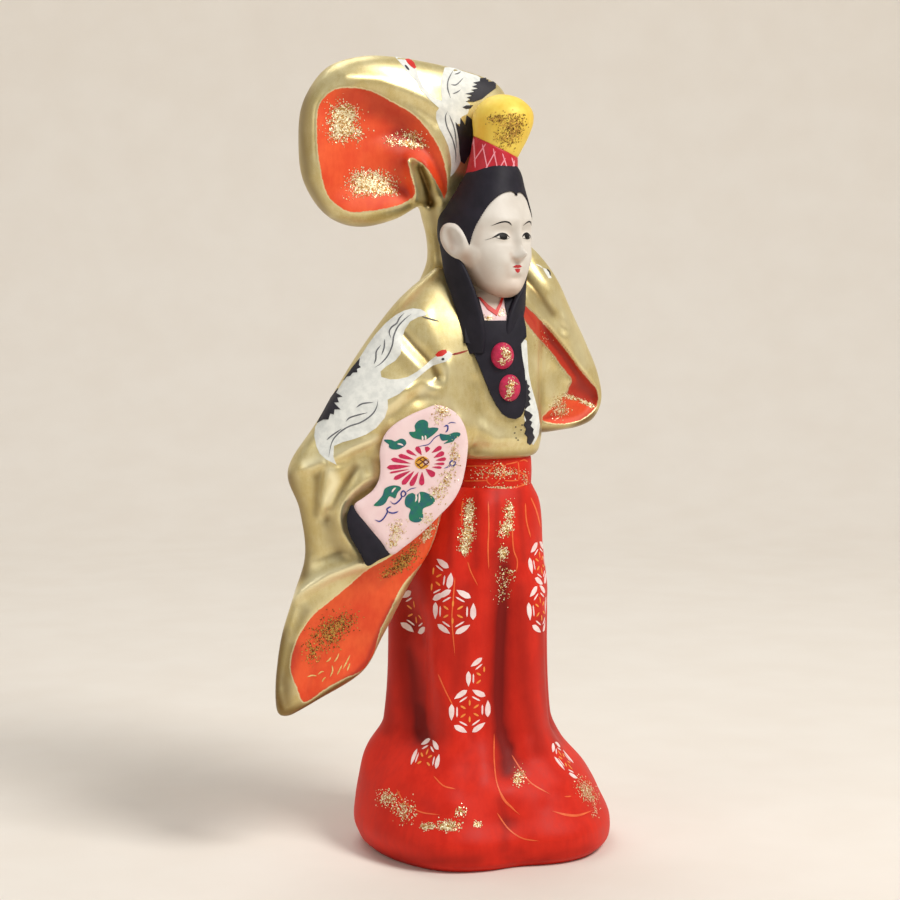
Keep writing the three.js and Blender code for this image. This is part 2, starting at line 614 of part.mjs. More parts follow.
// Open fan held against the sleeve
const FAN = [
  { one: [39, 159], two: [37.4, 160.6], half: FAN_HALF },
  { one: [39.6, 152], two: [24, 166.6], half: FAN_HALF },
  { one: [40.4, 144], two: [12.6, 169.6], half: FAN_HALF },
  { one: [43, 137.6], two: [6.6, 158.6], half: FAN_HALF },
  { one: [44.6, 132.4], two: [8.8, 145], half: FAN_HALF },
  { one: [43.6, 127.6], two: [14, 134], half: FAN_HALF },
  { one: [40, 123], two: [23, 124.4], half: FAN_HALF },
  { one: [36, 119.2], two: [32.6, 118.4], half: FAN_HALF },
];
const fan = (grow) => pillow(RIGHT_PLANE, FAN.map((knot) => ({ ...knot, lift: FAN_LIFT })), {
  grow, rows: ROWS.small + 3, round: ROUND.small, ends: FLAT_EDGE,
});
const GUARD = [
  { one: [50.4, 134.8], two: [45.2, 135.4], half: GUARD_HALF },
  { one: [51.4, 130.6], two: [45.4, 131], half: GUARD_HALF },
  { one: [49.8, 124.6], two: [43, 126.6], half: GUARD_HALF },
  { one: [46.8, 118.6], two: [39, 121.6], half: GUARD_HALF },
  { one: [43.8, 113.4], two: [35.4, 117.8], half: GUARD_HALF },
];
const guard = (grow) => pillow(RIGHT_PLANE, GUARD.map((knot) => ({ ...knot, lift: GUARD_LIFT })), {
  grow, rows: ROWS.small, round: ROUND.small, ends: FLAT_EDGE,
});

// Finishes
const paint = (color, roughness, metalness = 0) => (
  new THREE.MeshStandardMaterial({ color, roughness, metalness })
);
const GOLD = () => paint(0xb9a14e, 0.45, 0.6);
const RED = () => paint(0xd4281c, 0.5);
const ORANGE = () => paint(0xe8481c, 0.4);
const BLACK = () => paint(0x15141c, 0.45);
const WHITE = () => paint(0xe9e2d8, 0.6);
const CRIMSON = () => paint(0xc2193a, 0.5);
const PALE_PINK = () => paint(0xf1d8d4, 0.55);
const YELLOW = () => paint(0xe6b422, 0.4, 0.2);
const CLAY = () => paint(0xb98763, 0.85);

const doll = new THREE.Group();
doll.name = 'clay_doll';

function add(name, body, material) {
  const { vertProperties, triVerts } = body.getMesh();
  const geometry = new THREE.BufferGeometry();
  geometry.setAttribute('position', new THREE.BufferAttribute(vertProperties, 3));
  geometry.setIndex(new THREE.BufferAttribute(triVerts, 1));
  geometry.computeVertexNormals();
  const piece = new THREE.Mesh(geometry, material);
  piece.name = name;
  doll.add(piece);
}

// Front and back moulding of a piece, parted by a joint at a given depth
const SPAN = 140;
const SPAN_UP = 340;
const before = (y) => box(-SPAN, SPAN, -SPAN, y - JOINT / 2, -SPAN, SPAN_UP);
const behind = (y) => box(-SPAN, SPAN, y + JOINT / 2, SPAN, -SPAN, SPAN_UP);
const without = (body, ...cuts) => cuts.reduce((rest, cut) => rest.subtract(cut), body);

// Skirt and what it stands on
const SKIRT_SEAM = 3;
const skirtShell = skirt(0).subtract(skirtHollow(-WALL));
const soleRoom = box(-SPAN, SPAN, -SPAN, SPAN, 0, SOLE_TOP);
const vent = rod(0, VENT_BACK, VENT_RADIUS, -1, SOLE_TOP + 1);
add('skirt_front', skirtShell.intersect(before(SKIRT_SEAM)), RED());
add('skirt_back', skirtShell.intersect(behind(SKIRT_SEAM)), RED());
add('base_plate', skirtHollow(-WALL - EASE).intersect(soleRoom).subtract(vent), CLAY());
const bandHollow = band(-WALL, BAND_LOW - 1, BAND_HIGH + 1);
add('waistband', band(0, BAND_LOW + JOINT, BAND_HIGH).subtract(bandHollow), RED());

// Head and cap, on a neck that reaches down into the robe
const neckHole = rod(NECK_X, NECK_Y, NECK_RADIUS + EASE, NECK_LOW - NECK_SOCKET, NECK_HIGH + EASE);
const ears = (grow) => ear(1, grow).add(ear(-1, grow));
const face = head(0).intersect(faceRegion(HAIRLINE, FACE_BACK)).add(ears(0)).subtract(neckHole);
const hair = without(head(HAIR_RISE), faceRegion(HAIRLINE_GAP, FACE_BACK - JOINT), ears(EASE), neckHole);
add('face', face, WHITE());
add('hair', hair, BLACK());
add('cap_band', cap(CAP_BAND).subtract(head(HAIR_RISE + EASE)), CRIMSON());
add('cap_crown', cap(CAP_CROWN), YELLOW());
const headRoom = head(EASE).add(head(HAIR_RISE + EASE)).add(ears(EASE));
const capRoom = cap(CAP_BAND, EASE).add(cap(CAP_CROWN, EASE));

// Robe body, with the neck standing in it
const ROBE_SEAM = 2;
const robeHollow = robe(-WALL, BAND_HIGH - 1, SHOULDER_TOP - 9);
const robeShell = without(robe(0), robeHollow, neckHole, liftedMouth(EASE), headRoom);
add('robe_front', robeShell.intersect(before(ROBE_SEAM)), GOLD());
add('robe_back', robeShell.intersect(behind(ROBE_SEAM)), GOLD());
add('neck', rod(NECK_X, NECK_Y, NECK_RADIUS, NECK_LOW, NECK_HIGH), WHITE());

// Pieces laid on the breast
const robeRoom = robe(EASE);
const inlay = robe(INLAY).subtract(robeRoom);
const inlayRoom = robe(INLAY + EASE);
const onBreast = (outline) => prism(FRONT, aboveNeckline(outline), 4, FACE_REACH).intersect(inlay);
const lock = (path, grow) => strap(
  aboveNeckline(path),
  LOCK_HALF.map((half) => half + grow),
  LOCK_THICK + grow,
  [HEAD_X, HEAD_Y],
);
add('lock_right', without(lock(LOCK_RIGHT, 0), headRoom, robeRoom), BLACK());
add('lock_left', without(lock(LOCK_LEFT, 0), headRoom, robeRoom), BLACK());
const lockRoom = lock(LOCK_RIGHT, EASE).add(lock(LOCK_LEFT, EASE));
const bib = onBreast(BIB);
add('bib', bib.subtract(lockRoom), BLACK());
add('collar', without(onBreast(COLLAR), lockRoom, neckHole, headRoom), PALE_PINK());
add('under_collar', without(onBreast(UNDER_COLLAR), lockRoom, neckHole, headRoom), RED());
const POMPOMS = { upper: [-1.8, -18.2, -12], lower: [1, -18.2, -24.1] };
const POMPOM_HALF = [4.6, 4, 5];
Object.entries(POMPOMS).forEach(([place, middle]) => {
  add(`pompom_${place}`, ball(...aboveNeckline([middle])[0], ...POMPOM_HALF).subtract(inlayRoom), CRIMSON());
});

// Lining of a sleeve's mouth: a dished sheet inside the rim
const lining = (mouth) => mouth(0).subtract(mouth(-LINING_RIM, LINING_RIM - LINING_WALL));

// Lifted left sleeve, with its lining showing in the slit
const liftedBody = without(lifted(0), robeRoom, inlayRoom, lockRoom, headRoom, capRoom);
add('left_sleeve', liftedBody.subtract(liftedMouth(EASE)), GOLD());
const liftedLining = lining(liftedMouth).intersect(lifted(0).add(robe(0)));
add('left_sleeve_lining', without(liftedLining, bib, lockRoom, neckHole), ORANGE());

// Hanging right sleeve in two mouldings, its lining, and the fan
const fanRoom = fan(SEAT_EASE).add(guard(SEAT_EASE));
const waistRoom = skirt(EASE).add(band(EASE, BAND_LOW, BAND_HIGH + JOINT));
const bodyRoom = [robeRoom, neckHole, inlayRoom, lockRoom, headRoom, capRoom];
const hangingShell = without(
  hanging(0),
  ...bodyRoom,
  waistRoom,
  fanRoom,
  hangingHollow(),
  hangingMouth(EASE),
);
const SLEEVE_SEAM = -1;
const SLEEVE_ROOM = [[-60, 40], [100, 40], [100, 240], [-60, 240]];
const sleeveFront = prism(RIGHT_PLANE, SLEEVE_ROOM, SLEEVE_SEAM + JOINT / 2, SPAN);
const sleeveBack = prism(RIGHT_PLANE, SLEEVE_ROOM, -SPAN, SLEEVE_SEAM - JOINT / 2);
add('right_sleeve_front', hangingShell.intersect(sleeveFront), GOLD());
add('right_sleeve_back', hangingShell.intersect(sleeveBack), GOLD());
const hangingLining = lining(hangingMouth).intersect(hanging(0));
add('right_sleeve_lining', without(hangingLining, skirt(EASE), fanRoom), ORANGE());
add('fan_leaf', fan(0).subtract(guard(EASE)), PALE_PINK());
add('fan_guard', guard(0), BLACK());

// Sleeve thrown up behind the head, in two mouldings, with the lining of its mouth
const thrownRoom = [robeRoom, neckHole, lockRoom, headRoom, capRoom, lifted(EASE), hanging(EASE)];
const thrownHollows = [thrownHollow(THROWN_BAG), thrownHollow(THROWN_STEM), thrownMouth(EASE)];
const thrownShell = without(thrownBag().add(thrownStem()), ...thrownRoom, ...thrownHollows);
add('raised_sleeve_front', thrownShell.intersect(before(RAISED_PLANE.y)), GOLD());
add('raised_sleeve_back', thrownShell.intersect(behind(RAISED_PLANE.y)), GOLD());
const thrownLining = lining(thrownMouth).intersect(thrownBag());
add('raised_sleeve_lining', without(thrownLining, headRoom, capRoom), ORANGE());

export default doll;
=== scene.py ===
# %% [markdown]
# # A painted clay dancer
# The doll is a hollow clay figure, pressed in moulds, fired and painted. Its solids come from the
# CAD frame. Here each one gets the smooth skin, the relief and the paint that the real doll has.
# Nothing on it moves, so every piece rides on the one body, "root".

# %% Load the frame
import math
import random

import bmesh
import bpy
import numpy as np
from mathutils import Matrix, Vector
from mathutils.bvhtree import BVHTree


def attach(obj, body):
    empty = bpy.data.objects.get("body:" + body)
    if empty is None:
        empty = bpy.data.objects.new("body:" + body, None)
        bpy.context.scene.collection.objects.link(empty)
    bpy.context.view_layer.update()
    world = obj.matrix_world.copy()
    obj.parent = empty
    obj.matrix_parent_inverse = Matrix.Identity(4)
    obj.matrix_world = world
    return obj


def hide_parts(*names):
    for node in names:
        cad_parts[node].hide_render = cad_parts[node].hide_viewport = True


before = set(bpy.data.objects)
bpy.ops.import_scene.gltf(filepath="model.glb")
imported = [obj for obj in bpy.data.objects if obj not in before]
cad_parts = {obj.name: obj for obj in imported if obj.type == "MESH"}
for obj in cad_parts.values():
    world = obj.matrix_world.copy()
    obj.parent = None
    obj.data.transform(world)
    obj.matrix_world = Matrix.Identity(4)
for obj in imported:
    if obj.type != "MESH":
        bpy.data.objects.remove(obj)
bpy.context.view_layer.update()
MM = 0.001

# %% [markdown]
# ## The photograph's view
# Paint is easiest to place where the photograph shows it. A small pinhole model of the camera turns
# a pixel into a ray, and the paint is laid where that ray meets the doll. The same numbers place
# Blender's own camera, so the two always agree. All modelling is in millimetres.

# %% Camera
PHOTO_SIDE = 900
FOCAL_PIXELS = 2200
SENSOR_WIDTH = 36
CAMERA_PLACE = np.array([-365.3, -751.0, 242.6])
CAMERA_DOWN = math.radians(6.2)
CAMERA_TURN = math.radians(-25)

AHEAD = np.array([
    -math.sin(CAMERA_TURN) * math.cos(CAMERA_DOWN),
    math.cos(CAMERA_TURN) * math.cos(CAMERA_DOWN),
    -math.sin(CAMERA_DOWN),
])
RIGHTWARD = np.array([math.cos(CAMERA_TURN), math.sin(CAMERA_TURN), 0.0])
UPWARD = np.cross(RIGHTWARD, AHEAD)


def seen_at(points):
    """Columns and rows of the photograph at which points of the doll appear."""
    away = points - CAMERA_PLACE
    depth = away @ AHEAD
    return np.column_stack([
        PHOTO_SIDE / 2 + FOCAL_PIXELS * (away @ RIGHTWARD) / depth,
        PHOTO_SIDE / 2 - FOCAL_PIXELS * (away @ UPWARD) / depth,
    ])


def from_photo(column, row):
    """Where the ray of a pixel starts, and its direction."""
    across = (column - PHOTO_SIDE / 2) / FOCAL_PIXELS
    up = (PHOTO_SIDE / 2 - row) / FOCAL_PIXELS
    direction = AHEAD + across * RIGHTWARD + up * UPWARD
    return Vector(CAMERA_PLACE), Vector(direction).normalized()


camera_data = bpy.data.cameras.new("camera")
camera_data.sensor_width = SENSOR_WIDTH
camera_data.lens = SENSOR_WIDTH * FOCAL_PIXELS / PHOTO_SIDE
camera_data.clip_start = 0.05
camera = bpy.data.objects.new("camera", camera_data)
camera.location = Vector(CAMERA_PLACE) * MM
camera.rotation_euler = (math.pi / 2 - CAMERA_DOWN, 0, CAMERA_TURN)
bpy.context.scene.collection.objects.link(camera)
bpy.context.scene.camera = camera
PIXEL = float(-(CAMERA_PLACE @ AHEAD)) / FOCAL_PIXELS
print("lens", camera_data.lens, "mm; one pixel is", round(PIXEL, 3), "mm at the doll")

# %% [markdown]
# ## Smooth curves
# A modeller draws a few key sections and lets a spline fill in the rest. Two kinds are used: one
# that never overshoots its values, for upright bodies, and one that flows through its points, for
# the edges of sleeves and for brush lines.


# %% Curves through key values
def track(stations, values):
    """Curve through values at rising stations, without overshoot."""
    x = np.array(stations, float)
    y = np.array(values, float)
    slope = np.diff(y) / np.diff(x)
    total = np.where(slope[:-1] + slope[1:] == 0, 1, slope[:-1] + slope[1:])
    inner = np.where(slope[:-1] * slope[1:] <= 0, 0, 2 * slope[:-1] * slope[1:] / total)
    tangent = np.concatenate([slope[:1], inner, slope[-1:]])

    def at(place):
        place = np.clip(place, x[0], x[-1])
        i = np.clip(np.searchsorted(x, place, side="right") - 1, 0, len(x) - 2)
        h = x[i + 1] - x[i]
        u = (place - x[i]) / h
        v = 1 - u
        rise = (1 + 2 * u) * v * v * y[i] + u * v * v * h * tangent[i]
        return rise + u * u * (3 - 2 * u) * y[i + 1] - u * u * v * h * tangent[i + 1]

    return at


def flow(points):
    """Curve that flows through points, for a place from 0 to 1 along them."""
    p = np.array(points, float)
    ends = np.vstack([2 * p[0] - p[1], p, 2 * p[-1] - p[-2]])

    def at(place):
        t = np.clip(np.asarray(place, float), 0, 1) * (len(p) - 1)
        i = np.minimum(t.astype(int), len(p) - 2)
        u = (t - i)[..., None] if p.ndim > 1 else t - i
        a, b, c, d = ends[i], ends[i + 1], ends[i + 2], ends[i + 3]
        return 0.5 * (2 * b + (c - a) * u + (2 * a - 5 * b + 4 * c - d) * u**2
                      + (3 * b - a - 3 * c + d) * u**3)

    return at


def power(value, exponent):
    """Power that keeps the sign. It squares off a round section when the exponent is below 1."""
    return np.sign(value) * np.abs(value) ** exponent


def bell(distance, width):
    """1 in the middle, falling off softly over a width."""
    return np.exp(-((distance / width) ** 2))


def ease(value):
    """Smooth rise from 0 to 1."""
    value = np.clip(value, 0, 1)
    return value * value * (3 - 2 * value)


# %% [markdown]
# ## Rolled grids
# Each body is a grid rolled into a tube: one direction of the grid runs round the section, the other
# runs along the body. A formula gives each grid point its place, the seam is merged, and the two
# ends are filled, so the result is one closed mesh.


# %% Closed bodies from a grid
def rolled(place, around, along):
    """Closed bmesh: place(u, v) gives the points for u round the section and v along the body."""
    body = bmesh.new()
    bmesh.ops.create_grid(body, x_segments=around, y_segments=along, size=0.5)
    flat = np.array([vertex.co for vertex in body.verts])
    for vertex, point in zip(body.verts, place(flat[:, 0] + 0.5, flat[:, 1] + 0.5)):
        vertex.co = point
    bmesh.ops.remove_doubles(body, verts=body.verts, dist=1e-4)
    rims = [edge for edge in body.edges if edge.is_boundary]
    if rims:
        bmesh.ops.holes_fill(body, edges=rims, sides=0)
    bmesh.ops.recalc_face_normals(body, faces=body.faces)
    return body


def piece(name, body, unit=MM):
    """A named object from a bmesh, in millimetres unless told otherwise, with its place in its mesh."""
    bmesh.ops.scale(body, vec=(unit, unit, unit), verts=body.verts)
    mesh = bpy.data.meshes.new(name)
    body.to_mesh(mesh)
    body.free()
    mesh.shade_smooth()
    made = bpy.data.objects.new(name, mesh)
    bpy.context.scene.collection.objects.link(made)
    return made


def measure(*pieces):
    """Print how many faces pieces have."""
    for made in pieces:
        print(made.name, len(made.data.polygons), "faces")


def corners(made):
    """Vertex places of a piece, in millimetres."""
    flat = np.empty(len(made.data.vertices) * 3)
    made.data.vertices.foreach_get("co", flat)
    return flat.reshape(-1, 3) / MM


def outward(made):
    """Vertex normals of a piece."""
    flat = np.empty(len(made.data.vertices) * 3, np.float32)
    made.data.vertex_normals.foreach_get("vector", flat)
    return flat.reshape(-1, 3).astype(float)


def move_to(made, points):
    """Give the vertices new places, in millimetres."""
    made.data.vertices.foreach_set("co", (points * MM).ravel())
    made.data.update()


def joined(parts):
    """One bmesh that holds several closed ones."""
    whole = bmesh.new()
    for part in parts:
        mesh = bpy.data.meshes.new("part")
        part.to_mesh(mesh)
        part.free()
        whole.from_mesh(mesh)
        bpy.data.meshes.remove(mesh)
    return whole


def ball(middle, half, turn=0.0, around=48, along=32):
    """A ball with three half widths, turned about its upright axis."""
    body = bmesh.new()
    bmesh.ops.create_uvsphere(body, u_segments=around, v_segments=along, radius=1)
    place = Matrix.Translation(middle) @ Matrix.Rotation(turn, 4, "Z") @ Matrix.Diagonal((*half, 1))
    bmesh.ops.transform(body, matrix=place, verts=body.verts)
    return body


def apply_modifiers(made):
    """Make what the modifiers show the mesh itself."""
    rough = made.data
    seen = made.evaluated_get(bpy.context.evaluated_depsgraph_get())
    made.data = bpy.data.meshes.new_from_object(seen)
    made.modifiers.clear()
    bpy.data.meshes.remove(rough)
    made.data.name = made.name


def fused(name, bodies, voxel, rounds):
    """One closed skin over overlapping bodies, softened where they meet as slip softens clay."""
    made = piece(name, joined(bodies))
    remesh = made.modifiers.new("voxels", "REMESH")
    remesh.mode = "VOXEL"
    remesh.voxel_size = voxel * MM
    smooth = made.modifiers.new("smooth", "SMOOTH")
    smooth.factor = 0.5
    smooth.iterations = rounds
    apply_modifiers(made)
    made.data.shade_smooth()
    measure(made)
    return made


# %% [markdown]
# ## The two kinds of body
# A column is an upright body: at each level it has a middle, two half widths and folds that run down
# it. A pillow is a flat soft bag between two edges in an upright plane, as a sleeve is.


# %% Columns and pillows
SQUARENESS = 2.2
LEAST_HALF_THICKNESS = 0.3


def column(levels, folds=(), around=180, along=120, under=()):
    """Upright body from levels (z, middle x and y, half widths a and b), with rings (z, inset) under it."""
    z_keys = [level[0] for level in levels]
    x_at, y_at, a_at, b_at = (track(z_keys, [level[k] for level in levels]) for k in (1, 2, 3, 4))
    inner = np.array(under, float).reshape(-1, 2)
    total = along + len(inner)

    def place(u, v):
        ring = np.rint(v * total).astype(int)
        part = np.clip((ring - len(inner)) / along, 0, 1)
        z = z_keys[0] + (z_keys[-1] - z_keys[0]) * part
        inset = np.zeros_like(z)
        if len(inner):
            early = ring < len(inner)
            z[early] = inner[ring[early], 0]
            inset[early] = inner[ring[early], 1]
        bearing = 360 * u
        across = np.sin(np.radians(bearing))
        front = np.cos(np.radians(bearing))
        a = a_at(z) - inset
        b = b_at(z) - inset
        reach = (np.abs(across / a) ** SQUARENESS + np.abs(front / b) ** SQUARENESS) ** (-1 / SQUARENESS)
        for (above, below), wide, (top, bottom), high, fade in folds:
            middle = above + (below - above) * np.clip((top - z) / (top - bottom), 0, 1)
            off = (bearing - middle + 540) % 360 - 180
            within = np.clip((top - z) / fade, 0, 1) * np.clip((z - bottom) / fade, 0, 1)
            reach = reach + high * bell(off, wide) * ease(within)
        return np.column_stack([x_at(z) + reach * across, y_at(z) - reach * front, z])

    return rolled(place, around, total)


def on_plane(plane, across, level, lift):
    """Points of an upright plane (x, y, turn): across to the doll's right, lift to the front."""
    turn = math.radians(plane[2])
    return np.column_stack([
        plane[0] - across * math.cos(turn) - lift * math.sin(turn),
        plane[1] + across * math.sin(turn) - lift * math.cos(turn),
        level + 0 * across,
    ])


def pillow(plane, knots, ends=0.75, around=96, along=120):
    """Soft bag from knots (one edge, other edge, half thickness, lift)."""
    one = flow([knot[0] for knot in knots])
    two = flow([knot[1] for knot in knots])
    half = flow([[knot[2]] for knot in knots])
    lift = flow([[knot[3]] for knot in knots])

    def place(u, v):
        a, b = one(v), two(v)
        across = power(np.cos(2 * np.pi * u), ends)[:, None]
        out = power(np.sin(2 * np.pi * u), ends)
        flat = (a + b) / 2 + (a - b) / 2 * across
        thick = np.maximum(half(v)[:, 0], LEAST_HALF_THICKNESS)
        return on_plane(plane, flat[:, 0], flat[:, 1], lift(v)[:, 0] + thick * out)

    return rolled(place, around, along)


# %% [markdown]
# ## Relief that the photograph shows
# Folds, dents and the dished mouths of the sleeves are pressed into the finished skins. Each point
# moves along its own line of sight, so a fold stays exactly where the photograph shows it. Only what
# faces the camera moves, and it fades out toward the edges.


# %% Pressing folds and dishes
PRESS_GAIN = 2.2
CREASE_ENDS = 5
ZONE_EDGE = 4


def towards_camera(points):
    """Direction from each point to the camera."""
    away = CAMERA_PLACE - points
    return away / np.linalg.norm(away, axis=1)[:, None]


def facing_camera(made):
    """1 where a skin faces the camera, 0 where it is seen edge on."""
    return np.sum(outward(made) * towards_camera(corners(made)), axis=1)


def to_segment(pixels, start, end):
    """Distance of pixels to a straight stroke, and how far along it they lie."""
    line = np.array(end, float) - np.array(start, float)
    along = np.clip(((pixels - start) @ line) / (line @ line), 0, 1)
    return np.linalg.norm(pixels - (np.array(start) + along[:, None] * line), axis=1), along


def to_path(pixels, path):
    """Distance of pixels to a bent stroke."""
    return np.min([to_segment(pixels, a, b)[0] for a, b in zip(path, path[1:])], axis=0)


def inside(pixels, outline):
    """Distance of pixels inside a closed outline, in millimetres, and below zero outside it."""
    ring = list(outline) + [outline[0]]
    distance = to_path(pixels, ring) * PIXEL
    x, y = pixels[:, 0], pixels[:, 1]
    odd = np.zeros(len(pixels), bool)
    for (xa, ya), (xb, yb) in zip(ring, ring[1:]):
        if ya != yb:
            crosses = ((ya > y) != (yb > y)) & (x < (xb - xa) * (y - ya) / (yb - ya) + xa)
            odd ^= crosses
    return np.where(odd, distance, -distance)


def smooth_outline(points, count=8):
    """Closed smooth outline through points."""
    looped = list(points[-2:]) + list(points) + list(points[:3])
    line = flow(looped)
    spans = len(looped) - 1
    places = [(2 + k / count) / spans for k in range(len(points) * count)]
    return line(np.array(places))


def tent(pixels, path, right_hand, left_hand):
    """Roof over a bent stroke, 1 on its ridge, with a width on each hand. It dies out at both ends."""
    lengths = [math.dist(a, b) for a, b in zip(path, path[1:])]
    nearest = np.full(len(pixels), np.inf)
    roof = np.zeros(len(pixels))
    run = 0
    for a, b, length in zip(path, path[1:], lengths):
        distance, along = to_segment(pixels, a, b)
        hand = (b[0] - a[0]) * (pixels[:, 1] - a[1]) - (b[1] - a[1]) * (pixels[:, 0] - a[0])
        slope = np.clip(1 - distance / np.where(hand > 0, right_hand, left_hand), 0, 1)
        place = (run + along * length) / sum(lengths)
        roof = np.where(distance < nearest, slope * ease(np.minimum(place, 1 - place) * CREASE_ENDS), roof)
        nearest = np.minimum(nearest, distance)
        run += length
    return roof


def press(made, folds=(), dishes=(), creases=()):
    """Push a skin in and out, by folds (path, width in pixels, height in mm), by dishes (outline, depth,
    reach) and by creases (path, width on the right hand, width on the left hand, height)."""
    points = corners(made)
    facing = towards_camera(points)
    weight = ease(facing_camera(made) * PRESS_GAIN)
    pixels = seen_at(points)
    rise = np.zeros(len(points))
    for path, width, height in folds:
        rise += height * bell(to_path(pixels, path), width)
    for path, right_hand, left_hand, height in creases:
        rise += height * tent(pixels, path, right_hand, left_hand)
    for outline, depth, reach in dishes:
        rise -= depth * np.sin(np.clip(inside(pixels, outline) / reach, 0, 1) * np.pi / 2)
    move_to(made, points + facing * (rise * weight)[:, None])


def ring_average(made, rounds):
    """Vertex places after rounds of averaging with their neighbours."""
    pairs = np.empty(len(made.data.edges) * 2, np.int32)
    made.data.edges.foreach_get("vertices", pairs)
    a, b = pairs[::2], pairs[1::2]
    count = np.bincount(pairs, minlength=len(made.data.vertices)).astype(float)
    points = corners(made)
    for _ in range(rounds):
        total = np.zeros_like(points)
        for k in range(3):
            total[:, k] = np.bincount(a, points[b, k], len(points))
            total[:, k] += np.bincount(b, points[a, k], len(points))
        points = (points + total / count[:, None]) / 2
    return points


def soften(made, rounds, weight=1.0):
    """Average the surface, all of it or by a weight for each vertex."""
    points = corners(made)
    averaged = ring_average(made, rounds)
    move_to(made, points + (averaged - points) * np.reshape(weight, (-1, 1)))


def in_zone(made, zone, back):
    """Weight of the vertices inside a zone of the photograph's pixels and in front of a depth."""
    points = corners(made)
    return ease(inside(seen_at(points), zone) / ZONE_EDGE) * ease((back - points[:, 1]) / ZONE_EDGE)


def store(made, name, values):
    """A number at each vertex, which a material reads by its name."""
    attribute = made.data.attributes.new(name, "FLOAT", "POINT")
    attribute.data.foreach_set("value", np.asarray(values, np.float32))


def store_hollows(made, rounds):
    """How deep each vertex lies below its surroundings, in millimetres. Painted shade goes there."""
    rise = ring_average(made, rounds) - corners(made)
    store(made, "hollow", np.sum(rise * outward(made), axis=1))


def store_shade(made, strokes, area=0.0):
    """Painted shade, or a painted highlight at a strength below zero, by strokes (path, width in
    pixels, strength) over the photograph."""
    pixels = seen_at(corners(made))
    shades = [strength * bell(to_path(pixels, path), width) for path, width, strength in strokes]
    darker = np.max(shades + [area + np.zeros(len(pixels))], axis=0)
    shade = darker + np.minimum(np.min(shades, axis=0), 0)
    store(made, "shade", shade * ease(facing_camera(made) * 4 + 1))


# %% [markdown]
# ## Skirt
# The skirt falls from the waist in soft folds and spreads over the ground. It is one column with
# folds along bearings, and finer folds pressed where the photograph shows them. The mould leaves its
# underside open, so the first rings run up inside the rim, and the clay base plate shows there.

# %% Skirt skin
# level, middle in x and y, half widths in x and y
SKIRT = [
    (0, 0, 1, 45, 42), (3, 0, 1, 48, 44.7), (9, -1, 1, 49.4, 44.7), (18, -2, 3, 47, 42),
    (27, -2.4, 4.5, 43, 39), (38, -3.6, 7.4, 36, 34), (48, -3, 6.6, 31, 29.6), (70, -3, 6.2, 29.4, 28.4),
    (94, -3, 6.2, 29, 28), (114, -2.5, 5.5, 26.4, 25), (125, -1, 4, 24, 22), (133, 1, 1.2, 20, 17.4),
    (139, 2, -0.5, 15.6, 13.2),
]
# bearing at the top and the bottom, width in degrees, top and bottom level, height, fade
SKIRT_FOLDS = [
    ((4, -10), 18, (120, 34), -3.4, 34),
    ((-11, -6), 12, (30, -12), -2.8, 18),
    ((-78, -64), 15, (106, 28), -4.6, 26),
    ((-38, -44), 17, (112, -20), 2.6, 24),
    ((26, 26), 18, (112, -20), 2.4, 24),
    ((56, 66), 12, (100, 28), -3.4, 24),
    ((92, 88), 16, (108, 0), 2.2, 22),
    ((-108, -104), 16, (108, 14), 3, 22),
    ((120, 128), 19, (118, 0), -2.6, 34),
    ((-140, -152), 19, (118, 0), -2.6, 34),
    ((166, 176), 20, (118, -20), 2.6, 26),
]
# level and inset of the rings inside the rim
SOLE_RINGS = [(7, 4.6), (3, 4.5), (0.6, 4.4), (0, 3.6), (0, 1.2)]
# path, width in pixels, height
SKIRT_PRESSED = [
    ([(411, 590), (410, 650), (414, 700), (426, 738)], 10, -1.3),
    ([(418, 640), (432, 672), (447, 706), (458, 740)], 11, 1.7),
    ([(440, 640), (456, 690), (462, 740)], 12, -0.4),
    ([(452, 500), (450, 560), (446, 610)], 10, 0.8),
    ([(474, 520), (472, 590), (468, 640)], 10, -0.7),
    ([(487, 505), (486, 600), (482, 700), (484, 780)], 13, 1.2),
    ([(503, 570), (498, 650), (498, 720), (508, 772)], 12, -1.4),
    ([(520, 540), (524, 640), (534, 740)], 12, 0.9),
    ([(536, 600), (540, 680), (550, 748)], 10, -0.6),
    ([(512, 750), (524, 772), (548, 792), (576, 797)], 10, -0.9),
    ([(430, 770), (444, 785), (462, 792)], 10, -0.7),
    ([(394, 786), (408, 806), (442, 818)], 10, -0.8),
    ([(548, 806), (572, 814), (596, 808)], 8, -0.7),
    ([(404, 760), (398, 776), (384, 790)], 14, 0.8),
    ([(556, 760), (572, 776), (590, 786)], 11, 0.6),
]
skirt = piece("skirt_skin", column(SKIRT, SKIRT_FOLDS, around=240, along=170, under=SOLE_RINGS))
press(skirt, SKIRT_PRESSED)
skirt_points = corners(skirt)
skirt_points[:, 2] = np.maximum(skirt_points[:, 2], 0)
move_to(skirt, skirt_points)
store_hollows(skirt, 30)
measure(skirt)
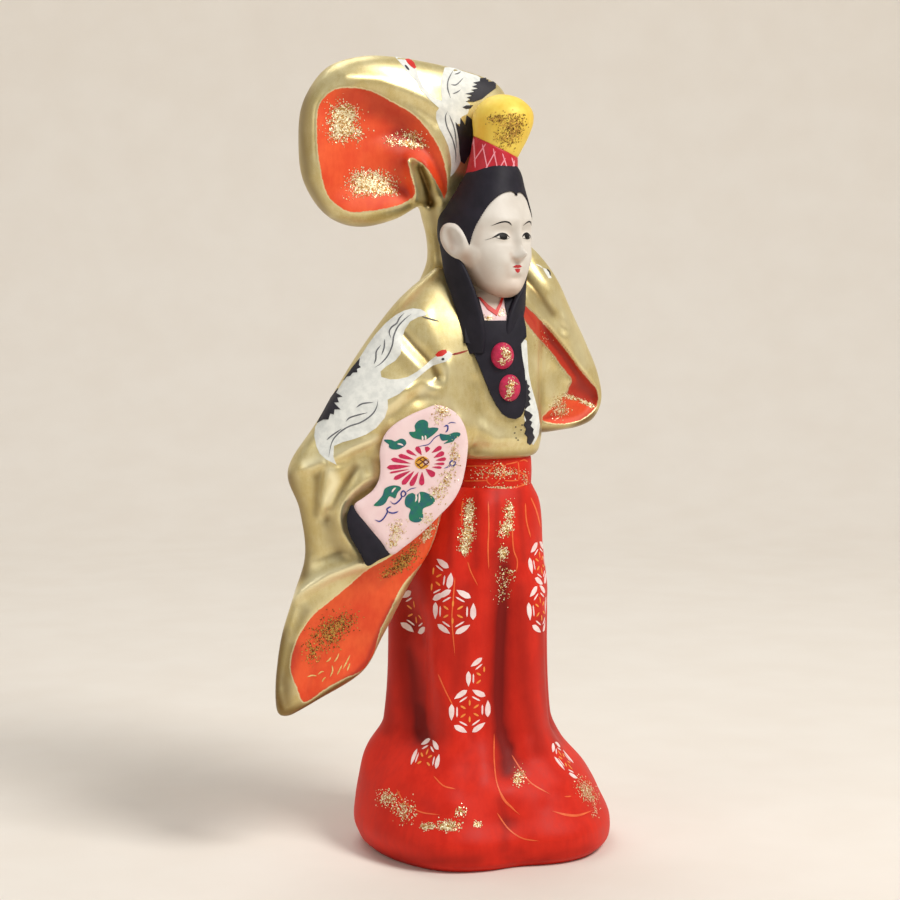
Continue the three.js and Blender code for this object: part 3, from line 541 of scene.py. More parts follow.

# %% [markdown]
# The valleys of the folds get painted shade: the red is darker there. It could be a texture, but a
# few soft strokes over the photograph give each vertex a number, and the paint's material reads it.

# %% Painted shade in the valleys of the skirt
# painted shade: path, width in pixels, strength
SKIRT_SHADES = [
    ([(392, 570), (402, 604), (404, 650), (412, 700), (426, 738)], 15, 0.6),
    ([(386, 600), (384, 680), (388, 730)], 8, 0.4),
    ([(503, 556), (500, 640), (498, 700), (506, 764)], 13, 0.65),
    ([(520, 590), (524, 680), (538, 748)], 10, 0.45), ([(466, 590), (462, 650), (454, 690)], 9, 0.4),
    ([(541, 620), (546, 700), (556, 744)], 6, 0.4), ([(452, 492), (450, 566)], 4, 0.4),
    ([(476, 492), (476, 566)], 3.6, 0.35), ([(497, 492), (496, 566)], 3.6, 0.4),
    ([(519, 492), (524, 560)], 3.6, 0.35), ([(430, 560), (424, 600)], 8, 0.35),
    ([(372, 852), (420, 862), (480, 860)], 6, 0.4), ([(506, 858), (540, 860), (590, 848)], 5, 0.35),
    ([(500, 800), (506, 826), (504, 850)], 5, 0.35),
]
store_shade(skirt, SKIRT_SHADES)
print("darker valleys:", len(SKIRT_SHADES))

# %% [markdown]
# ## Waistband
# A plain sash fills the waist between the bloused robe and the skirt. It could be turned on a lathe,
# but its section is squarer than a circle, so it is a short column as the skirt is.

# %% Waistband skin
BAND = [
    (137, 2, -1, 14.6, 12.2), (139, 2, -1, 15.2, 12.8), (143.8, 2, -1, 15.4, 13),
    (148.6, 2, -1, 15.2, 12.8), (151, 2, -1, 14.6, 12.2),
]
band = piece("waistband_skin", column(BAND, around=140, along=24))
store_hollows(band, 6)
measure(band)

# %% [markdown]
# ## Robe and its three sleeves
# On the real doll the robe is one continuous painted skin over the luted mouldings. The body is a
# column and each sleeve is a pillow, with the same key sections as the CAD part. A voxel remesh fuses
# them, and averaging softens the joins.

# %% Key sections of the robe
# the plane that each sleeve lies in: x, y and turn in degrees
RIGHT_PLANE = (-12, -9, 10)
RAISED_PLANE = (0, 17, 0)
LEFT_PLANE = (0, 8, 0)
ROBE = [
    (149.7, 2, -1, 15.4, 12.8), (150.4, 2, -1, 16.6, 14), (152, 2, -1, 18, 15.4), (161, 2, -1, 19.3, 16.6),
    (175, 1.5, -1, 19, 16.2), (190, 1, -0.6, 20, 15.8), (201, 0.6, 0, 20.4, 14.6), (207, 0.6, 0.4, 17, 12),
    (212.5, 0.6, 0.2, 10.6, 9.4),
]
ROBE_FOLDS = [
    ((-46, -30), 10, (192, 152), 1.4, 12),
    ((48, 34), 10, (196, 152), 1.4, 12),
    ((160, 176), 16, (204, 150), 1.6, 14),
]
# one edge, other edge, half thickness, lift out of the plane
HANGING = [
    ((8, 222), (-8, 212), 5, -14), ((24.8, 209.5), (-8, 196), 10, -7), ((41.2, 190), (-8, 176), 11, -3),
    ((57, 166), (-4, 161), 11, 0), ((68.5, 148), (2.4, 148), 10, 0), ((64.3, 133), (9, 134), 9, 0),
    ((62.3, 116), (14, 118), 8, 0), ((66.7, 101), (23, 103), 7.5, 0), ((71.6, 85), (33, 84.5), 6.8, 0),
    ((73.9, 68), (41, 71.2), 6, 0), ((73.6, 58), (58, 61.5), 4, 0), ((71.6, 55.4), (68, 56), 1.6, 0),
]
THROWN_BAG = [
    ((67.9, 272), (67.9, 266), 1.6, 0), ((65.6, 284), (65.6, 252.5), 8, 0),
    ((57, 295.6), (57.4, 241), 11.5, 0), ((44, 300), (45.6, 236.6), 12.6, 0),
    ((30, 300.1), (31.5, 239.2), 12.6, 0), ((13, 297.8), (20.5, 244.6), 12, 0),
    ((-2, 294.8), (8, 247), 10.6, 0), ((-12, 291), (-6, 256), 8, 0), ((-17.4, 284.6), (-15.4, 274), 3, 0),
]
THROWN_STEM = [
    ((14, 268), (-13, 268), 6.5, 0), ((20, 250), (-16, 252), 8, 0), ((18.6, 241), (-18, 240), 8.4, 0),
    ((16.4, 233), (-21, 230), 8.8, 0), ((16.2, 224), (-23, 220), 9.4, 0.5),
    ((20, 216), (-24, 212), 9.6, 1.5), ((26, 207), (-23, 204), 8, 2.6), ((25, 194), (-18, 192), 6, 3.4),
    ((16, 178), (-12, 177), 3.6, 3.6), ((6, 168), (-5, 167.6), 1.2, 2.4),
]
LIFTED = [
    ((-21, 232), (-13, 229), 3, -4), ((-27, 225.7), (-8, 216), 7, -2), ((-33.2, 216.5), (-6, 206), 9, 0),
    ((-39.5, 204), (-6, 192), 10, 0), ((-46, 191.5), (-8, 178), 10.4, 0),
    ((-51.2, 180), (-11, 168), 10.2, 0), ((-53.2, 169.5), (-16, 161), 9.4, 0),
    ((-50, 161.8), (-20, 157.4), 7, 0), ((-44, 158.4), (-26, 156.6), 2.6, 0),
]
robe = fused("robe_skin", [
    column(ROBE, ROBE_FOLDS, along=90),
    pillow(RIGHT_PLANE, HANGING, along=170),
    pillow(RAISED_PLANE, THROWN_BAG),
    pillow(RAISED_PLANE, THROWN_STEM),
    pillow(LEFT_PLANE, LIFTED),
], voxel=0.85, rounds=10)

# %% [markdown]
# The sleeves are dished where they open, and their cloth is pinched and creased. The outlines and
# creases are given in the photograph's pixels. The depths are in millimetres.

# %% Mouths of the sleeves
RAISED_MOUTH = smooth_outline([
    (315, 134), (317, 106), (330, 90), (346, 86), (370, 89), (392, 100), (414, 113), (430, 130),
    (442, 150), (448, 172), (449, 188), (445, 203), (439, 192), (431, 177), (421, 165), (410, 160),
    (413, 176), (417, 194), (404, 205), (387, 210), (368, 213), (352, 214), (338, 208), (325, 194),
    (318, 165),
])
HANGING_MOUTH = smooth_outline([
    (440, 508), (414, 534), (391, 554), (367, 568), (348, 584), (330, 599), (313, 613), (299, 632),
    (291, 652), (289, 670), (295, 688), (304, 704), (327, 690), (345, 680), (364, 671), (376, 653),
    (381, 633), (391, 612), (403, 588), (418, 570), (427, 560), (438, 530),
], 6)
LIFTED_MOUTH = smooth_outline([
    (514, 293), (517.5, 296.7), (525, 303), (536, 313), (547, 325), (558, 338), (570, 353), (580, 367),
    (590, 379), (597.6, 388), (599.8, 398), (598, 407), (592, 414), (585, 419.4), (575, 423.6),
    (562, 425.6), (550, 424.4), (541, 421), (541.6, 415.4), (546, 411), (552, 405), (561, 396),
    (566, 391.6), (567.4, 386), (570.4, 380.6), (566, 374.6), (560, 367), (550, 353), (538, 340),
    (528, 328), (521.7, 318), (517, 306),
], 3)
print("points on the three mouths:", [len(mouth) for mouth in (RAISED_MOUTH, HANGING_MOUTH, LIFTED_MOUTH)])

# %% [markdown]
# A fold is a soft bell over a stroke, with a width and a height. A crease is a roof: it has a sharp
# ridge and a width of its own on each hand, as pinched clay has.

# %% Folds and creases of the sleeves
# path, width in pixels, height
SLEEVE_FOLDS = [
    # shoulder and upper arm
    ([(428, 314), (437, 340), (448, 366)], 13, 1.2),
    ([(404, 334), (414, 346), (426, 358), (434, 368), (438, 377)], 6, -1.7),
    ([(396, 346), (408, 358), (420, 370)], 6, 0.9),
    ([(437, 376), (418, 394), (392, 415)], 8, -0.9),
    ([(408, 391), (422, 383), (434, 388)], 5.5, 0.9),
    ([(420, 400), (434, 398)], 6, -0.6),
    ([(448, 364), (444, 384), (438, 404)], 8, 0.8),
    ([(404, 392), (384, 408), (374, 424)], 9, 0.9),
    # elbow, where the cloth bunches
    ([(315, 476), (315, 492), (316, 508)], 5, -0.5),
    ([(356, 466), (346, 482), (334, 502), (328, 518)], 5.5, -1),
    ([(379, 484), (367, 491), (356, 500), (350, 508)], 4.5, -0.7),
    ([(294, 486), (300, 510), (306, 530), (309, 550)], 7, -1.2),
    ([(352, 457), (368, 454), (380, 460)], 6, -0.8),
    # fall of the sleeve
    ([(290, 598), (310, 586), (330, 575), (350, 568), (364, 564)], 8.5, 0.6),
    ([(303, 576), (322, 562), (342, 550)], 9, -0.9),
    ([(286, 640), (281, 684)], 6, -1),
    ([(372, 596), (350, 620), (340, 650)], 12, 1),
    # raised sleeve
    ([(346, 76), (380, 79), (404, 88), (424, 97), (440, 106)], 6, 0.9),
    ([(360, 92), (396, 100), (420, 110), (438, 122)], 6, -0.8),
    ([(374, 112), (394, 122), (412, 140)], 17, -2.4),
    ([(392, 170), (400, 190)], 12, -1.4),
    ([(408, 160), (412, 176), (416, 200)], 4, 2.6),
    ([(419, 168), (425, 184), (430, 203)], 4.5, -3.6),
    ([(426, 166), (436, 182), (443, 202)], 3, 1.4),
    ([(421, 206), (426, 224), (430, 246)], 8, 1),
    ([(430, 215), (438, 238), (441, 262)], 6, -1.1),
    # lifted sleeve and breast
    ([(534, 250), (543, 263), (550, 273)], 5, -0.9),
    ([(528, 292), (548, 312), (566, 336)], 6, 0.9),
    ([(566, 320), (578, 346), (586, 368)], 8, 0.8),
    ([(574, 388), (590, 398)], 8, -1.8),
    ([(552, 372), (546, 386), (540, 400)], 8, -0.8),
    ([(462, 424), (490, 438), (520, 442)], 10, 1),
    ([(452, 380), (456, 410), (466, 436)], 9, 1),
    ([(474, 384), (482, 410), (496, 432)], 9, -0.8),
    ([(466, 449), (500, 448), (530, 447)], 5, -0.8),
]
# path, width on the right hand, width on the left hand, height
SLEEVE_CREASES = [
    # the flat fold at the elbow, and the edge above it
    ([(328, 458), (325.6, 478), (323.6, 496), (320, 518)], 4.5, 24, 2.8),
    ([(286, 473), (310, 469), (330, 461), (352, 450), (382, 435)], 6, 18, 1.8),
    # the cloth that wraps the fan's guard
    ([(386, 471), (364, 482), (351, 493), (343, 505), (339.6, 517), (342, 530), (350, 544), (368, 564)],
      13, 6, 2.0),
    # the edge over the orange lining
    ([(282, 604), (308, 587), (330, 575), (350, 568), (374, 560)], 9, 19, 2.3),
    # the lifted sleeve
    ([(514, 264), (533, 289), (546, 306), (572, 342)], 7, 7, -1.4),
    ([(526, 254), (546, 283), (560, 303), (584, 346)], 9, 9, 0.6),
]
print(len(SLEEVE_FOLDS), "folds and", len(SLEEVE_CREASES), "creases")

# %% [markdown]
# Where the lifted sleeve leaves the body the fused skin is lumpy, so that zone is averaged first.
# Then all the relief is pressed in at once. The orange lining isn't a piece of its own on the real
# doll, only paint inside the mouths, so it is a number at each vertex that the gold paint reads.

# %% Press the sleeves
SIDE_JOIN = [
    (512, 284), (530, 286), (548, 318), (560, 366), (556, 400), (544, 420), (531, 412), (524, 384),
    (518, 340),
]
SIDE_JOIN_BACK = 12
SIDE_JOIN_ROUNDS = 110
LINING_FADE = 24
# outline, depth, reach of the slope
DISHES = [(RAISED_MOUTH, 8, 20), (HANGING_MOUTH, 4.6, 15), (LIFTED_MOUTH, 4, 4)]
soften(robe, SIDE_JOIN_ROUNDS, in_zone(robe, SIDE_JOIN, SIDE_JOIN_BACK))
press(robe, SLEEVE_FOLDS, DISHES, SLEEVE_CREASES)
soften(robe, 2)

robe_pixels = seen_at(corners(robe))
linings = np.max([inside(robe_pixels, outline) for outline, _, _ in DISHES], axis=0)
store(robe, "lining", np.minimum(linings, (facing_camera(robe) + 0.01) * LINING_FADE))
store_hollows(robe, 40)
print("orange on", int((linings > 0).sum()), "of", len(linings), "vertices")

# %% [markdown]
# Painted shade and painted highlights: the gold is painted brown where shade falls on its edges and
# folds and bright on ridges that face the lamp, and the orange a deeper red where the mouths lie in
# shade. These places are strokes as on the skirt, above zero for darker and below zero for brighter.

# %% Painted shade and highlights on the robe
# outline of the painted shade on the lifted sleeve's orange mouth
LIFTED_SHADE = [
    (514, 292), (520, 298), (528, 305), (538, 314), (548, 325), (559, 338), (570, 353), (580, 367),
    (590, 380), (597.4, 388), (599.6, 398), (594, 407), (586, 403.4), (575, 398.6), (567, 395.4),
    (562, 396.6), (567.6, 388), (570.4, 380), (566, 374), (560, 366.4), (550, 352.4), (538, 339.4),
    (528, 327.4), (522, 317), (517, 306),
]
# painted shade: path, width in pixels, strength
SHADES = [
    ([(289, 478), (298, 506), (304, 540), (302, 574)], 8, 0.8),
    ([(280, 634), (274, 690), (283, 716)], 9, 1), ([(306, 612), (292, 640), (284, 680)], 5, 0.35),
    ([(317, 478), (316, 496), (316, 514)], 4.5, 0.5), ([(354, 467), (345, 484), (331, 508)], 4.5, 0.6),
    ([(330, 522), (334, 540), (346, 554)], 10, 0.5), ([(366, 494), (354, 503), (350, 514)], 4, 0.5),
    ([(306, 86), (301, 130), (307, 180), (326, 216)], 6, 0.7),
    ([(328, 220), (352, 228), (384, 226)], 5, 0.7), ([(421, 168), (428, 186), (431, 204)], 5, 1),
    ([(431, 206), (438, 236), (441, 268)], 6, 0.6), ([(352, 95), (380, 104), (404, 121)], 13, 0.55),
    ([(396, 136), (404, 160)], 12, 0.6), ([(404, 336), (424, 356), (440, 378)], 3.5, 0.5),
    ([(400, 424), (384, 434), (376, 452)], 5, 0.4), ([(525, 278), (538, 294), (553, 313)], 5, 0.8),
    ([(540, 431), (568, 432), (594, 415)], 5, 1), ([(294, 648), (285, 680), (287, 704)], 8, 0.75),
    ([(275, 696), (284, 713), (302, 709)], 7, 1), ([(524, 284), (536, 298), (548, 310)], 8, 0.4),
    ([(288, 714), (308, 705), (332, 689), (354, 675)], 3.4, 0.95),
    ([(354, 675), (367, 662), (374, 645), (382, 625), (394, 602)], 2.6, 0.9),
    ([(544, 376), (540, 400), (540, 424)], 6, 0.45), ([(464, 452), (500, 455), (538, 453)], 4, 0.6),
    # painted highlights
    ([(330, 471), (335, 482), (328, 500)], 5.5, -1),
    ([(306, 464), (330, 456), (356, 446), (376, 438)], 5, -0.8),
    ([(378, 479), (354, 493), (344, 506), (342, 520), (350, 540), (360, 553)], 3.4, -0.9),
    ([(292, 596), (316, 581), (340, 571), (362, 564)], 5, -0.9),
    ([(408, 346), (420, 364), (430, 376)], 4, -0.6), ([(446, 370), (436, 384), (422, 392)], 5, -0.6),
    ([(402, 398), (388, 408), (378, 420)], 5, -0.6), ([(446, 402), (470, 420), (500, 432)], 7, -0.5),
    ([(340, 66), (372, 66), (404, 78), (428, 96)], 6, -0.2),
    ([(556, 300), (572, 330), (584, 362)], 7, -0.5), ([(534, 360), (548, 380), (550, 394)], 7, -0.5),
]
# painted shade: the lifted sleeve's mouth is a deeper red where it lies in shade
lifted_mouth_painted_shade = ease(inside(robe_pixels, LIFTED_SHADE) + 0.5) * ease(linings / 0.5)
store_shade(robe, SHADES, 0.9 * lifted_mouth_painted_shade)
print("darker and brighter places:", len(SHADES) + 1)

# %% [markdown]
# ## Head
# The head is a column in its own turned frame: it has a reach forward, a reach back and a half width
# at each level. It could be sculpted by hand, but soft swellings added to its front, as a thumb would
# add them, keep both halves of the face alike.

# %% Head with its features
HEAD_MIDDLE = (-1, -2)
HEAD_TURN = 20
HEAD_PLANE = (HEAD_MIDDLE[0], HEAD_MIDDLE[1], -HEAD_TURN)
HEAD_SQUARENESS = 0.9
# the direction in which the top of the head and the cap lean
LEAN = math.radians(65)
# level, reach forward, reach back, half width, slide along the lean
HEAD = [
    (210.4, 12, -8.4, 2.6, 0), (212, 14, -4, 6, 0), (215.6, 15.4, 2.4, 9.8, 0), (220.4, 16.2, 9, 12.9, 0),
    (226, 16.4, 14, 15.4, 0), (233, 16.2, 17.4, 16.8, 0), (239, 16.4, 18, 16.4, 0.3),
    (245, 14.6, 15, 14, 0.9), (251, 12, 12, 11.6, 1.8), (257, 9.4, 9.6, 9.2, 2.8),
    (260, 7.4, 7.6, 7.4, 3),
]
# across, level, width across, width in level, height; those off the middle are on both sides
FEATURES = [
    (0, 237.5, 2, 5, 0.8), (0, 231.5, 1.5, 4.8, 2.3), (0, 226.8, 1.8, 2, 3.9),
    (0, 225.2, 2.4, 0.9, 0.6), (2.1, 226, 1.2, 1.2, 0.8), (0, 223.8, 2.4, 0.7, -0.5),
    (3.3, 233.6, 1.6, 2.4, -0.8), (6.6, 235.2, 4.2, 2, -1), (6.7, 233.2, 3, 1.2, 0.6),
    (6.4, 231, 3.4, 0.8, -0.4), (6, 239, 4.6, 1.7, 0.55), (8.4, 224.6, 4.6, 4.2, 0.9),
    (0, 220.8, 3.6, 2.2, 0.5), (0, 222, 2, 0.55, 0.4), (0, 221.1, 2.1, 0.3, -0.45),
    (0, 220.1, 1.4, 0.6, 0.45), (0, 217.7, 3, 0.9, -0.9), (0, 214.2, 3.4, 2.2, 1.2),
]


def head(grow):
    """The head with its features, grown by a distance all round."""
    levels = [level[0] for level in HEAD]
    tracks = [track(levels, [level[k] for level in HEAD]) for k in (1, 2, 3, 4)]
    front_at, back_at, half_at, slide_at = tracks
    swellings = [(side * x, *rest) for x, *rest in FEATURES for side in ((1, -1) if x else (1,))]

    def place(u, v):
        z = levels[0] - grow + (levels[-1] - levels[0] + 2 * grow) * v
        front, back = front_at(z) + grow, back_at(z) + grow
        across = (half_at(z) + grow) * power(np.sin(2 * np.pi * u), HEAD_SQUARENESS)
        swell = sum(high * bell(across - x, wide) * bell(z - level, tall)
                    for x, level, wide, tall, high in swellings)
        ahead = ease(np.cos(2 * np.pi * u) * 3)
        round_front = power(np.cos(2 * np.pi * u), HEAD_SQUARENESS)
        forward = (front - back) / 2 + (front + back) / 2 * round_front + swell * ahead
        points = on_plane(HEAD_PLANE, across, z, forward)
        points[:, 0] += slide_at(z) * math.sin(LEAN)
        points[:, 1] -= slide_at(z) * math.cos(LEAN)
        return points

    return rolled(place, 150, 130)


# %% [markdown]
# Each ear is a ball that is flattened, hollowed and leaned back. A smaller ball leads it into the
# cheek, because a thin ear alone would meet the head in a sharp corner.

# %% Ears
EAR_REACH = 17.2
EAR_LEVEL = 231.5
EAR_HALF = (2.8, 5.6, 7.1)
EAR_LEAN = 0.34
EAR_SPLAY = 16
EAR_TIP = -8
# depth and reach of the hollow, height, place and width of the rim, all for a ball of radius 1
EAR_HOLLOW = (0.74, 0.54)
EAR_RIM = (0.2, 0.82, 0.14)
# across, level, forward, and half sizes: where the ear runs into the cheek
EAR_ROOT = (13.6, 227, 4.2, 3.2, 6.4, 5.4)
EAR_JOIN = (15.2, 226.6, 5.2)
EAR_JOIN_REACH = 5.5


def ear(side):
    """A flattened ball with a rolled rim and a hollow shell, set on the side of the head."""
    shell = bmesh.new()
    bmesh.ops.create_uvsphere(shell, u_segments=72, v_segments=48, radius=1)
    for vertex in shell.verts:
        x, y, z = vertex.co
        outside = max(0.0, side * -x)
        edge = math.hypot(y, z)
        hollow = EAR_HOLLOW[0] * bell(math.hypot(y + 0.06, z - 0.08), EAR_HOLLOW[1]) * outside
        rim = EAR_RIM[0] * bell(edge - EAR_RIM[1], EAR_RIM[2]) * outside
        vertex.co.x += side * (hollow - rim)
        vertex.co.y += EAR_LEAN * z
    turn = Matrix.Rotation(math.radians(HEAD_TURN + side * EAR_SPLAY), 4, "Z")
    tip = Matrix.Rotation(math.radians(EAR_TIP), 4, "X")
    middle = on_plane(HEAD_PLANE, np.array([side * EAR_REACH]), EAR_LEVEL, 0.5)[0]
    place = Matrix.Translation(middle) @ turn @ tip @ Matrix.Diagonal((*EAR_HALF, 1))
    bmesh.ops.transform(shell, matrix=place, verts=shell.verts)
    return shell


def ear_root(side):
    """The ball between an ear and the cheek."""
    across, level, forward, *half = EAR_ROOT
    middle = on_plane(HEAD_PLANE, np.array([side * across]), level, forward)[0]
    return ball(middle, half, math.radians(HEAD_TURN + side * EAR_SPLAY))


# %% [markdown]
# Head, ears and neck become one skin, and the corners behind the ears are filled by averaging, as the
# white ground fills them on the real doll. Painted shade under the jaw, ear and nose is a few strokes again.

# %% One skin for the face
NECK = [
    (196, 0.8, -1.6, 8.6, 8.4), (203, 0.8, -1.8, 7.6, 7.6), (212, 0.4, -2, 7.2, 7.4), (220, 0, -2, 8, 8),
]
EAR_JOIN_ROUNDS = 70


def neck():
    """The stub under the head."""
    return column(NECK, around=90, along=40)


head_parts = [head(0), ear(1), ear(-1), ear_root(1), ear_root(-1), neck()]
face = fused("face_skin", head_parts, voxel=0.42, rounds=5)
for side in (1, -1):
    join = on_plane(HEAD_PLANE, np.array([side * EAR_JOIN[0]]), EAR_JOIN[1], EAR_JOIN[2])[0]
    near_join = bell(np.linalg.norm(corners(face) - join, axis=1), EAR_JOIN_REACH)
    soften(face, EAR_JOIN_ROUNDS, near_join)
store_hollows(face, 30)
# painted shade under the jaw, in the ears and by the nose and mouth: path, width in pixels, strength
FACE_SHADES = [
    ([(466, 258), (471, 272), (480, 288), (494, 297), (510, 297)], 8, 0.75),
    ([(478, 262), (486, 276)], 10, 0.35), ([(441, 226), (440, 240), (448, 254)], 3, 0.4),
    ([(449, 232), (452, 248)], 3.4, 0.45), ([(513, 258), (518, 261)], 2.4, 0.6),
    ([(511, 254), (513, 262)], 2.2, 0.35), ([(507, 267), (509, 276)], 4, 0.25),
    ([(480, 228), (476, 244)], 5, 0.2),
]
store_shade(face, FACE_SHADES)
print("warm strokes under the jaw:", len(FACE_SHADES))

# %% [markdown]
# ## Hair
# The hair is a second head, a little larger, with the face cut out of it. The hairline is drawn in
# the head's own measure: the bearing round the head from the nose, and the level.

# %% Hairline and flat cutting shapes
NOTCH = (-6, 248.3)
FOREHEAD_NEAR = [
    (-2, 249.4), (5, 249.9), (18, 249.3), (31, 247.5), (43, 244.5), (53, 240.2), (62, 235), (67, 229.6),
]
FOREHEAD_FAR = [
    (-67, 229.6), (-62, 235), (-53, 240.2), (-43, 244.5), (-31, 247.5), (-20, 249.3), (-10, 249.5),
]
NAPE = [(70, 231), (92, 231), (101, 226), (106, 218), (108, 204)]


def around_head(bearing, level, radius):
    """Point at a bearing from the nose, positive to the doll's right."""
    angle = np.radians(bearing)
    return on_plane(HEAD_PLANE, radius * np.sin(angle), level, radius * np.cos(angle))


def cells(outline, step):
    """Flat bmesh of an outline, cut into cells so that it can bend."""
    flat = bmesh.new()
    bmesh.ops.create_circle(flat, cap_ends=True, radius=1, segments=len(outline))
    for vertex, (x, y) in zip(flat.verts, outline):
        vertex.co = (x, y, 0)
    low = np.min(outline, axis=0)
    high = np.max(outline, axis=0)
    for axis in (0, 1):
        normal = Vector((axis == 0, axis == 1, 0))
        for cut in np.arange(math.floor(low[axis] / step) * step + step, high[axis], step):
            geometry = flat.verts[:] + flat.edges[:] + flat.faces[:]
            bmesh.ops.bisect_plane(flat, geom=geometry, plane_co=normal * float(cut), plane_no=normal,
                                   dist=1e-5)
    return flat


def slab(flat, place):
    """Closed slab from flat cells: place(x, y, side) gives a point for side 0, below, and 1, on top."""
    raised = bmesh.ops.extrude_face_region(flat, geom=flat.faces[:])
    for item in raised["geom"]:
        if isinstance(item, bmesh.types.BMVert):
            item.co.z = 1
    for vertex in flat.verts:
        vertex.co = place(vertex.co.x, vertex.co.y, vertex.co.z)
    bmesh.ops.recalc_face_normals(flat, faces=flat.faces)
    return flat


def arc(points, count=40):
    """Points along the curve that flows through a few."""
    return [tuple(point) for point in flow(points)(np.linspace(0, 1, count))]


def cut_away(made, cutter):
    """Boolean difference, applied. The cutter is removed."""
    difference = made.modifiers.new("cut", "BOOLEAN")
    difference.operation = "DIFFERENCE"
    difference.solver = "EXACT"
    difference.object = cutter
    apply_modifiers(made)
    bpy.data.objects.remove(cutter)


print("hairline points:", len(FOREHEAD_NEAR) + len(FOREHEAD_FAR) + 2 * len(NAPE) + 1)

# %% [markdown]
# The cutter is a slab between two distances from the head's middle, so its walls point at that
# middle. It is cut away with a Boolean and not painted on, because the real hair is a thick coat and
# its edge is a step.

# %% Cut the face out of the hair
HAIR_THICK = 0.55
CUTTER_NEAR = 3
CUTTER_FAR = 40
other_nape = [(-bearing, level) for bearing, level in reversed(NAPE)]
hairline = [NOTCH] + arc(FOREHEAD_NEAR) + NAPE + other_nape + arc(FOREHEAD_FAR)


def face_opening(bearing, level, side):
    """The cutter's inner and outer points over the face."""
    radius = CUTTER_NEAR if side < 0.5 else CUTTER_FAR
    return around_head(np.array([bearing]), level, radius)[0]


hair = piece("hair_skin", head(HAIR_THICK))
cutter = piece("cutter", slab(cells(hairline, 6), face_opening))
bpy.context.view_layer.update()
cut_away(hair, cutter)
measure(hair)

# %% [markdown]
# The two locks come from behind the ears and lie over the breast. A curve with a bevel would twist on
# the way, so each is a strap whose flat side always faces away from the head's middle.

# %% Locks over the shoulders
LOCK_SQUARENESS = 0.6
LOCK_HALF_THICKNESS = 1.3


def strap(path, half_widths):
    """Flat strap along points, lying on what the points run over."""
    line = flow(path)
    half = flow([[w] for w in half_widths])

    def place(u, v):
        at = line(v)
        ahead = line(np.minimum(v + 0.01, 1)) - line(np.maximum(v - 0.01, 0))
        ahead /= np.linalg.norm(ahead, axis=1)[:, None]
        out = at - np.array([HEAD_MIDDLE[0], HEAD_MIDDLE[1], 0])
        out[:, 2] = 0
        side = np.cross(ahead, out)
        side /= np.linalg.norm(side, axis=1)[:, None]
        out = np.cross(side, ahead)
        across = power(np.cos(2 * np.pi * u), LOCK_SQUARENESS) * half(v)[:, 0]
        rise = power(np.sin(2 * np.pi * u), LOCK_SQUARENESS) * LOCK_HALF_THICKNESS
        return at + side * across[:, None] + out * rise[:, None]

    return rolled(place, 28, 70)


LOCK_RIGHT = [
    (-17.4, 0.3, 231), (-16.6, -5.6, 222), (-15, -10.6, 213), (-13.4, -12.5, 205.4), (-12.4, -14, 197),
    (-11.6, -13.9, 190),
]
LOCK_LEFT = [
    (13.2, 7, 231), (14.4, 1, 221), (11.4, -8, 211.6), (6.6, -12.9, 204.4), (4.6, -14.4, 198),
    (4, -14, 193),
]
LOCK_HALF = [3.6, 5.4, 5.1, 4.7, 4.8, 3.8]
lock_right = piece("lock_right_skin", strap(LOCK_RIGHT, LOCK_HALF))
lock_left = piece("lock_left_skin", strap(LOCK_LEFT, LOCK_HALF))
measure(lock_right, lock_left)

# %% [markdown]
# ## Cap
# The cap is a crimson cone band with a yellow-gold bulb on top, and it leans forward. A plain lathe
# turn would stand straight, so both are rings along a leaning line, each ring with its own slant.

# %% Cap band and crown
CAP_SIDE = -1
# along the lean, level, radius, slant
CAP_BAND = [(2.4, 252, 11.2, 20), (2.65, 256, 10.4, 21.4), (3, 261, 9.7, 23.6), (3.45, 266.4, 9.3, 25.8)]
CAP_CROWN = [
    (3.45, 266.2, 8.6, 25.8), (3.5, 266.8, 9.3, 25.8), (4.3, 269.6, 10, 20.4), (5.2, 272.6, 10.8, 14),
    (6.3, 277, 11.4, 5.6), (6.8, 281, 10.2, 3.4), (6.5, 284.4, 6.6, 2), (6.2, 285.8, 2.6, 1),
    (6.2, 286, 0.4, 1),
]


def cap(rings, along=60):
    """Closed body through leaning rings."""
    keys = flow(rings)

    def place(u, v):
        s, z, radius, slant = keys(v).T
        ahead = radius * np.cos(2 * np.pi * u)
        beside = CAP_SIDE + radius * np.sin(2 * np.pi * u)
        forward = s + ahead * np.cos(np.radians(slant))
        return np.column_stack([
            forward * math.sin(LEAN) + beside * math.cos(LEAN),
            -forward * math.cos(LEAN) + beside * math.sin(LEAN),
            z - ahead * np.sin(np.radians(slant)),
        ])

    return rolled(place, 120, along)


cap_band = piece("cap_band_skin", cap(CAP_BAND, along=30))
cap_crown = piece("cap_crown_skin", cap(CAP_CROWN))
store_hollows(cap_crown, 10)
measure(cap_band, cap_crown)

# %% [markdown]
# ## Fan
# The fan is a thin leaf in low relief on the hanging sleeve, and its black guard stick closes one
# side. Both are flat panels in the sleeve's own plane, with softened edges. Their outlines are
# drawn over the photograph.

# %% Fan leaf and guard
FAN_TOP = 14.4
FAN_BOTTOM = 10.4
GUARD_TOP = 14.2
FAN_EDGE = 0.7
FAN_EDGE_WIDTH = 1.6
CELL = 3.0
FINE_CELL = 2.0
FAN_OUTLINE = smooth_outline([
    (436, 405), (448, 408), (458, 415), (465, 427), (468, 442), (467, 457), (465, 470), (461, 486),
    (453, 501), (441, 514), (430, 525), (418, 536), (404, 547), (391.4, 554.6), (380.6, 541),
    (366.4, 524), (354, 506.6), (364, 497.4), (373, 490), (379, 479), (380.4, 466), (379.6, 452),
    (384, 436), (394, 424.6), (410, 415), (424, 409),
], 4)
GUARD_OUTLINE = smooth_outline([
    (352.6, 505), (348.4, 511), (346.8, 520), (349, 533), (355, 545), (361, 555), (367.4, 566),
    (379, 560), (390.6, 553.8), (384.6, 546.6), (378.6, 538), (370, 528), (361.6, 517),
], 4)


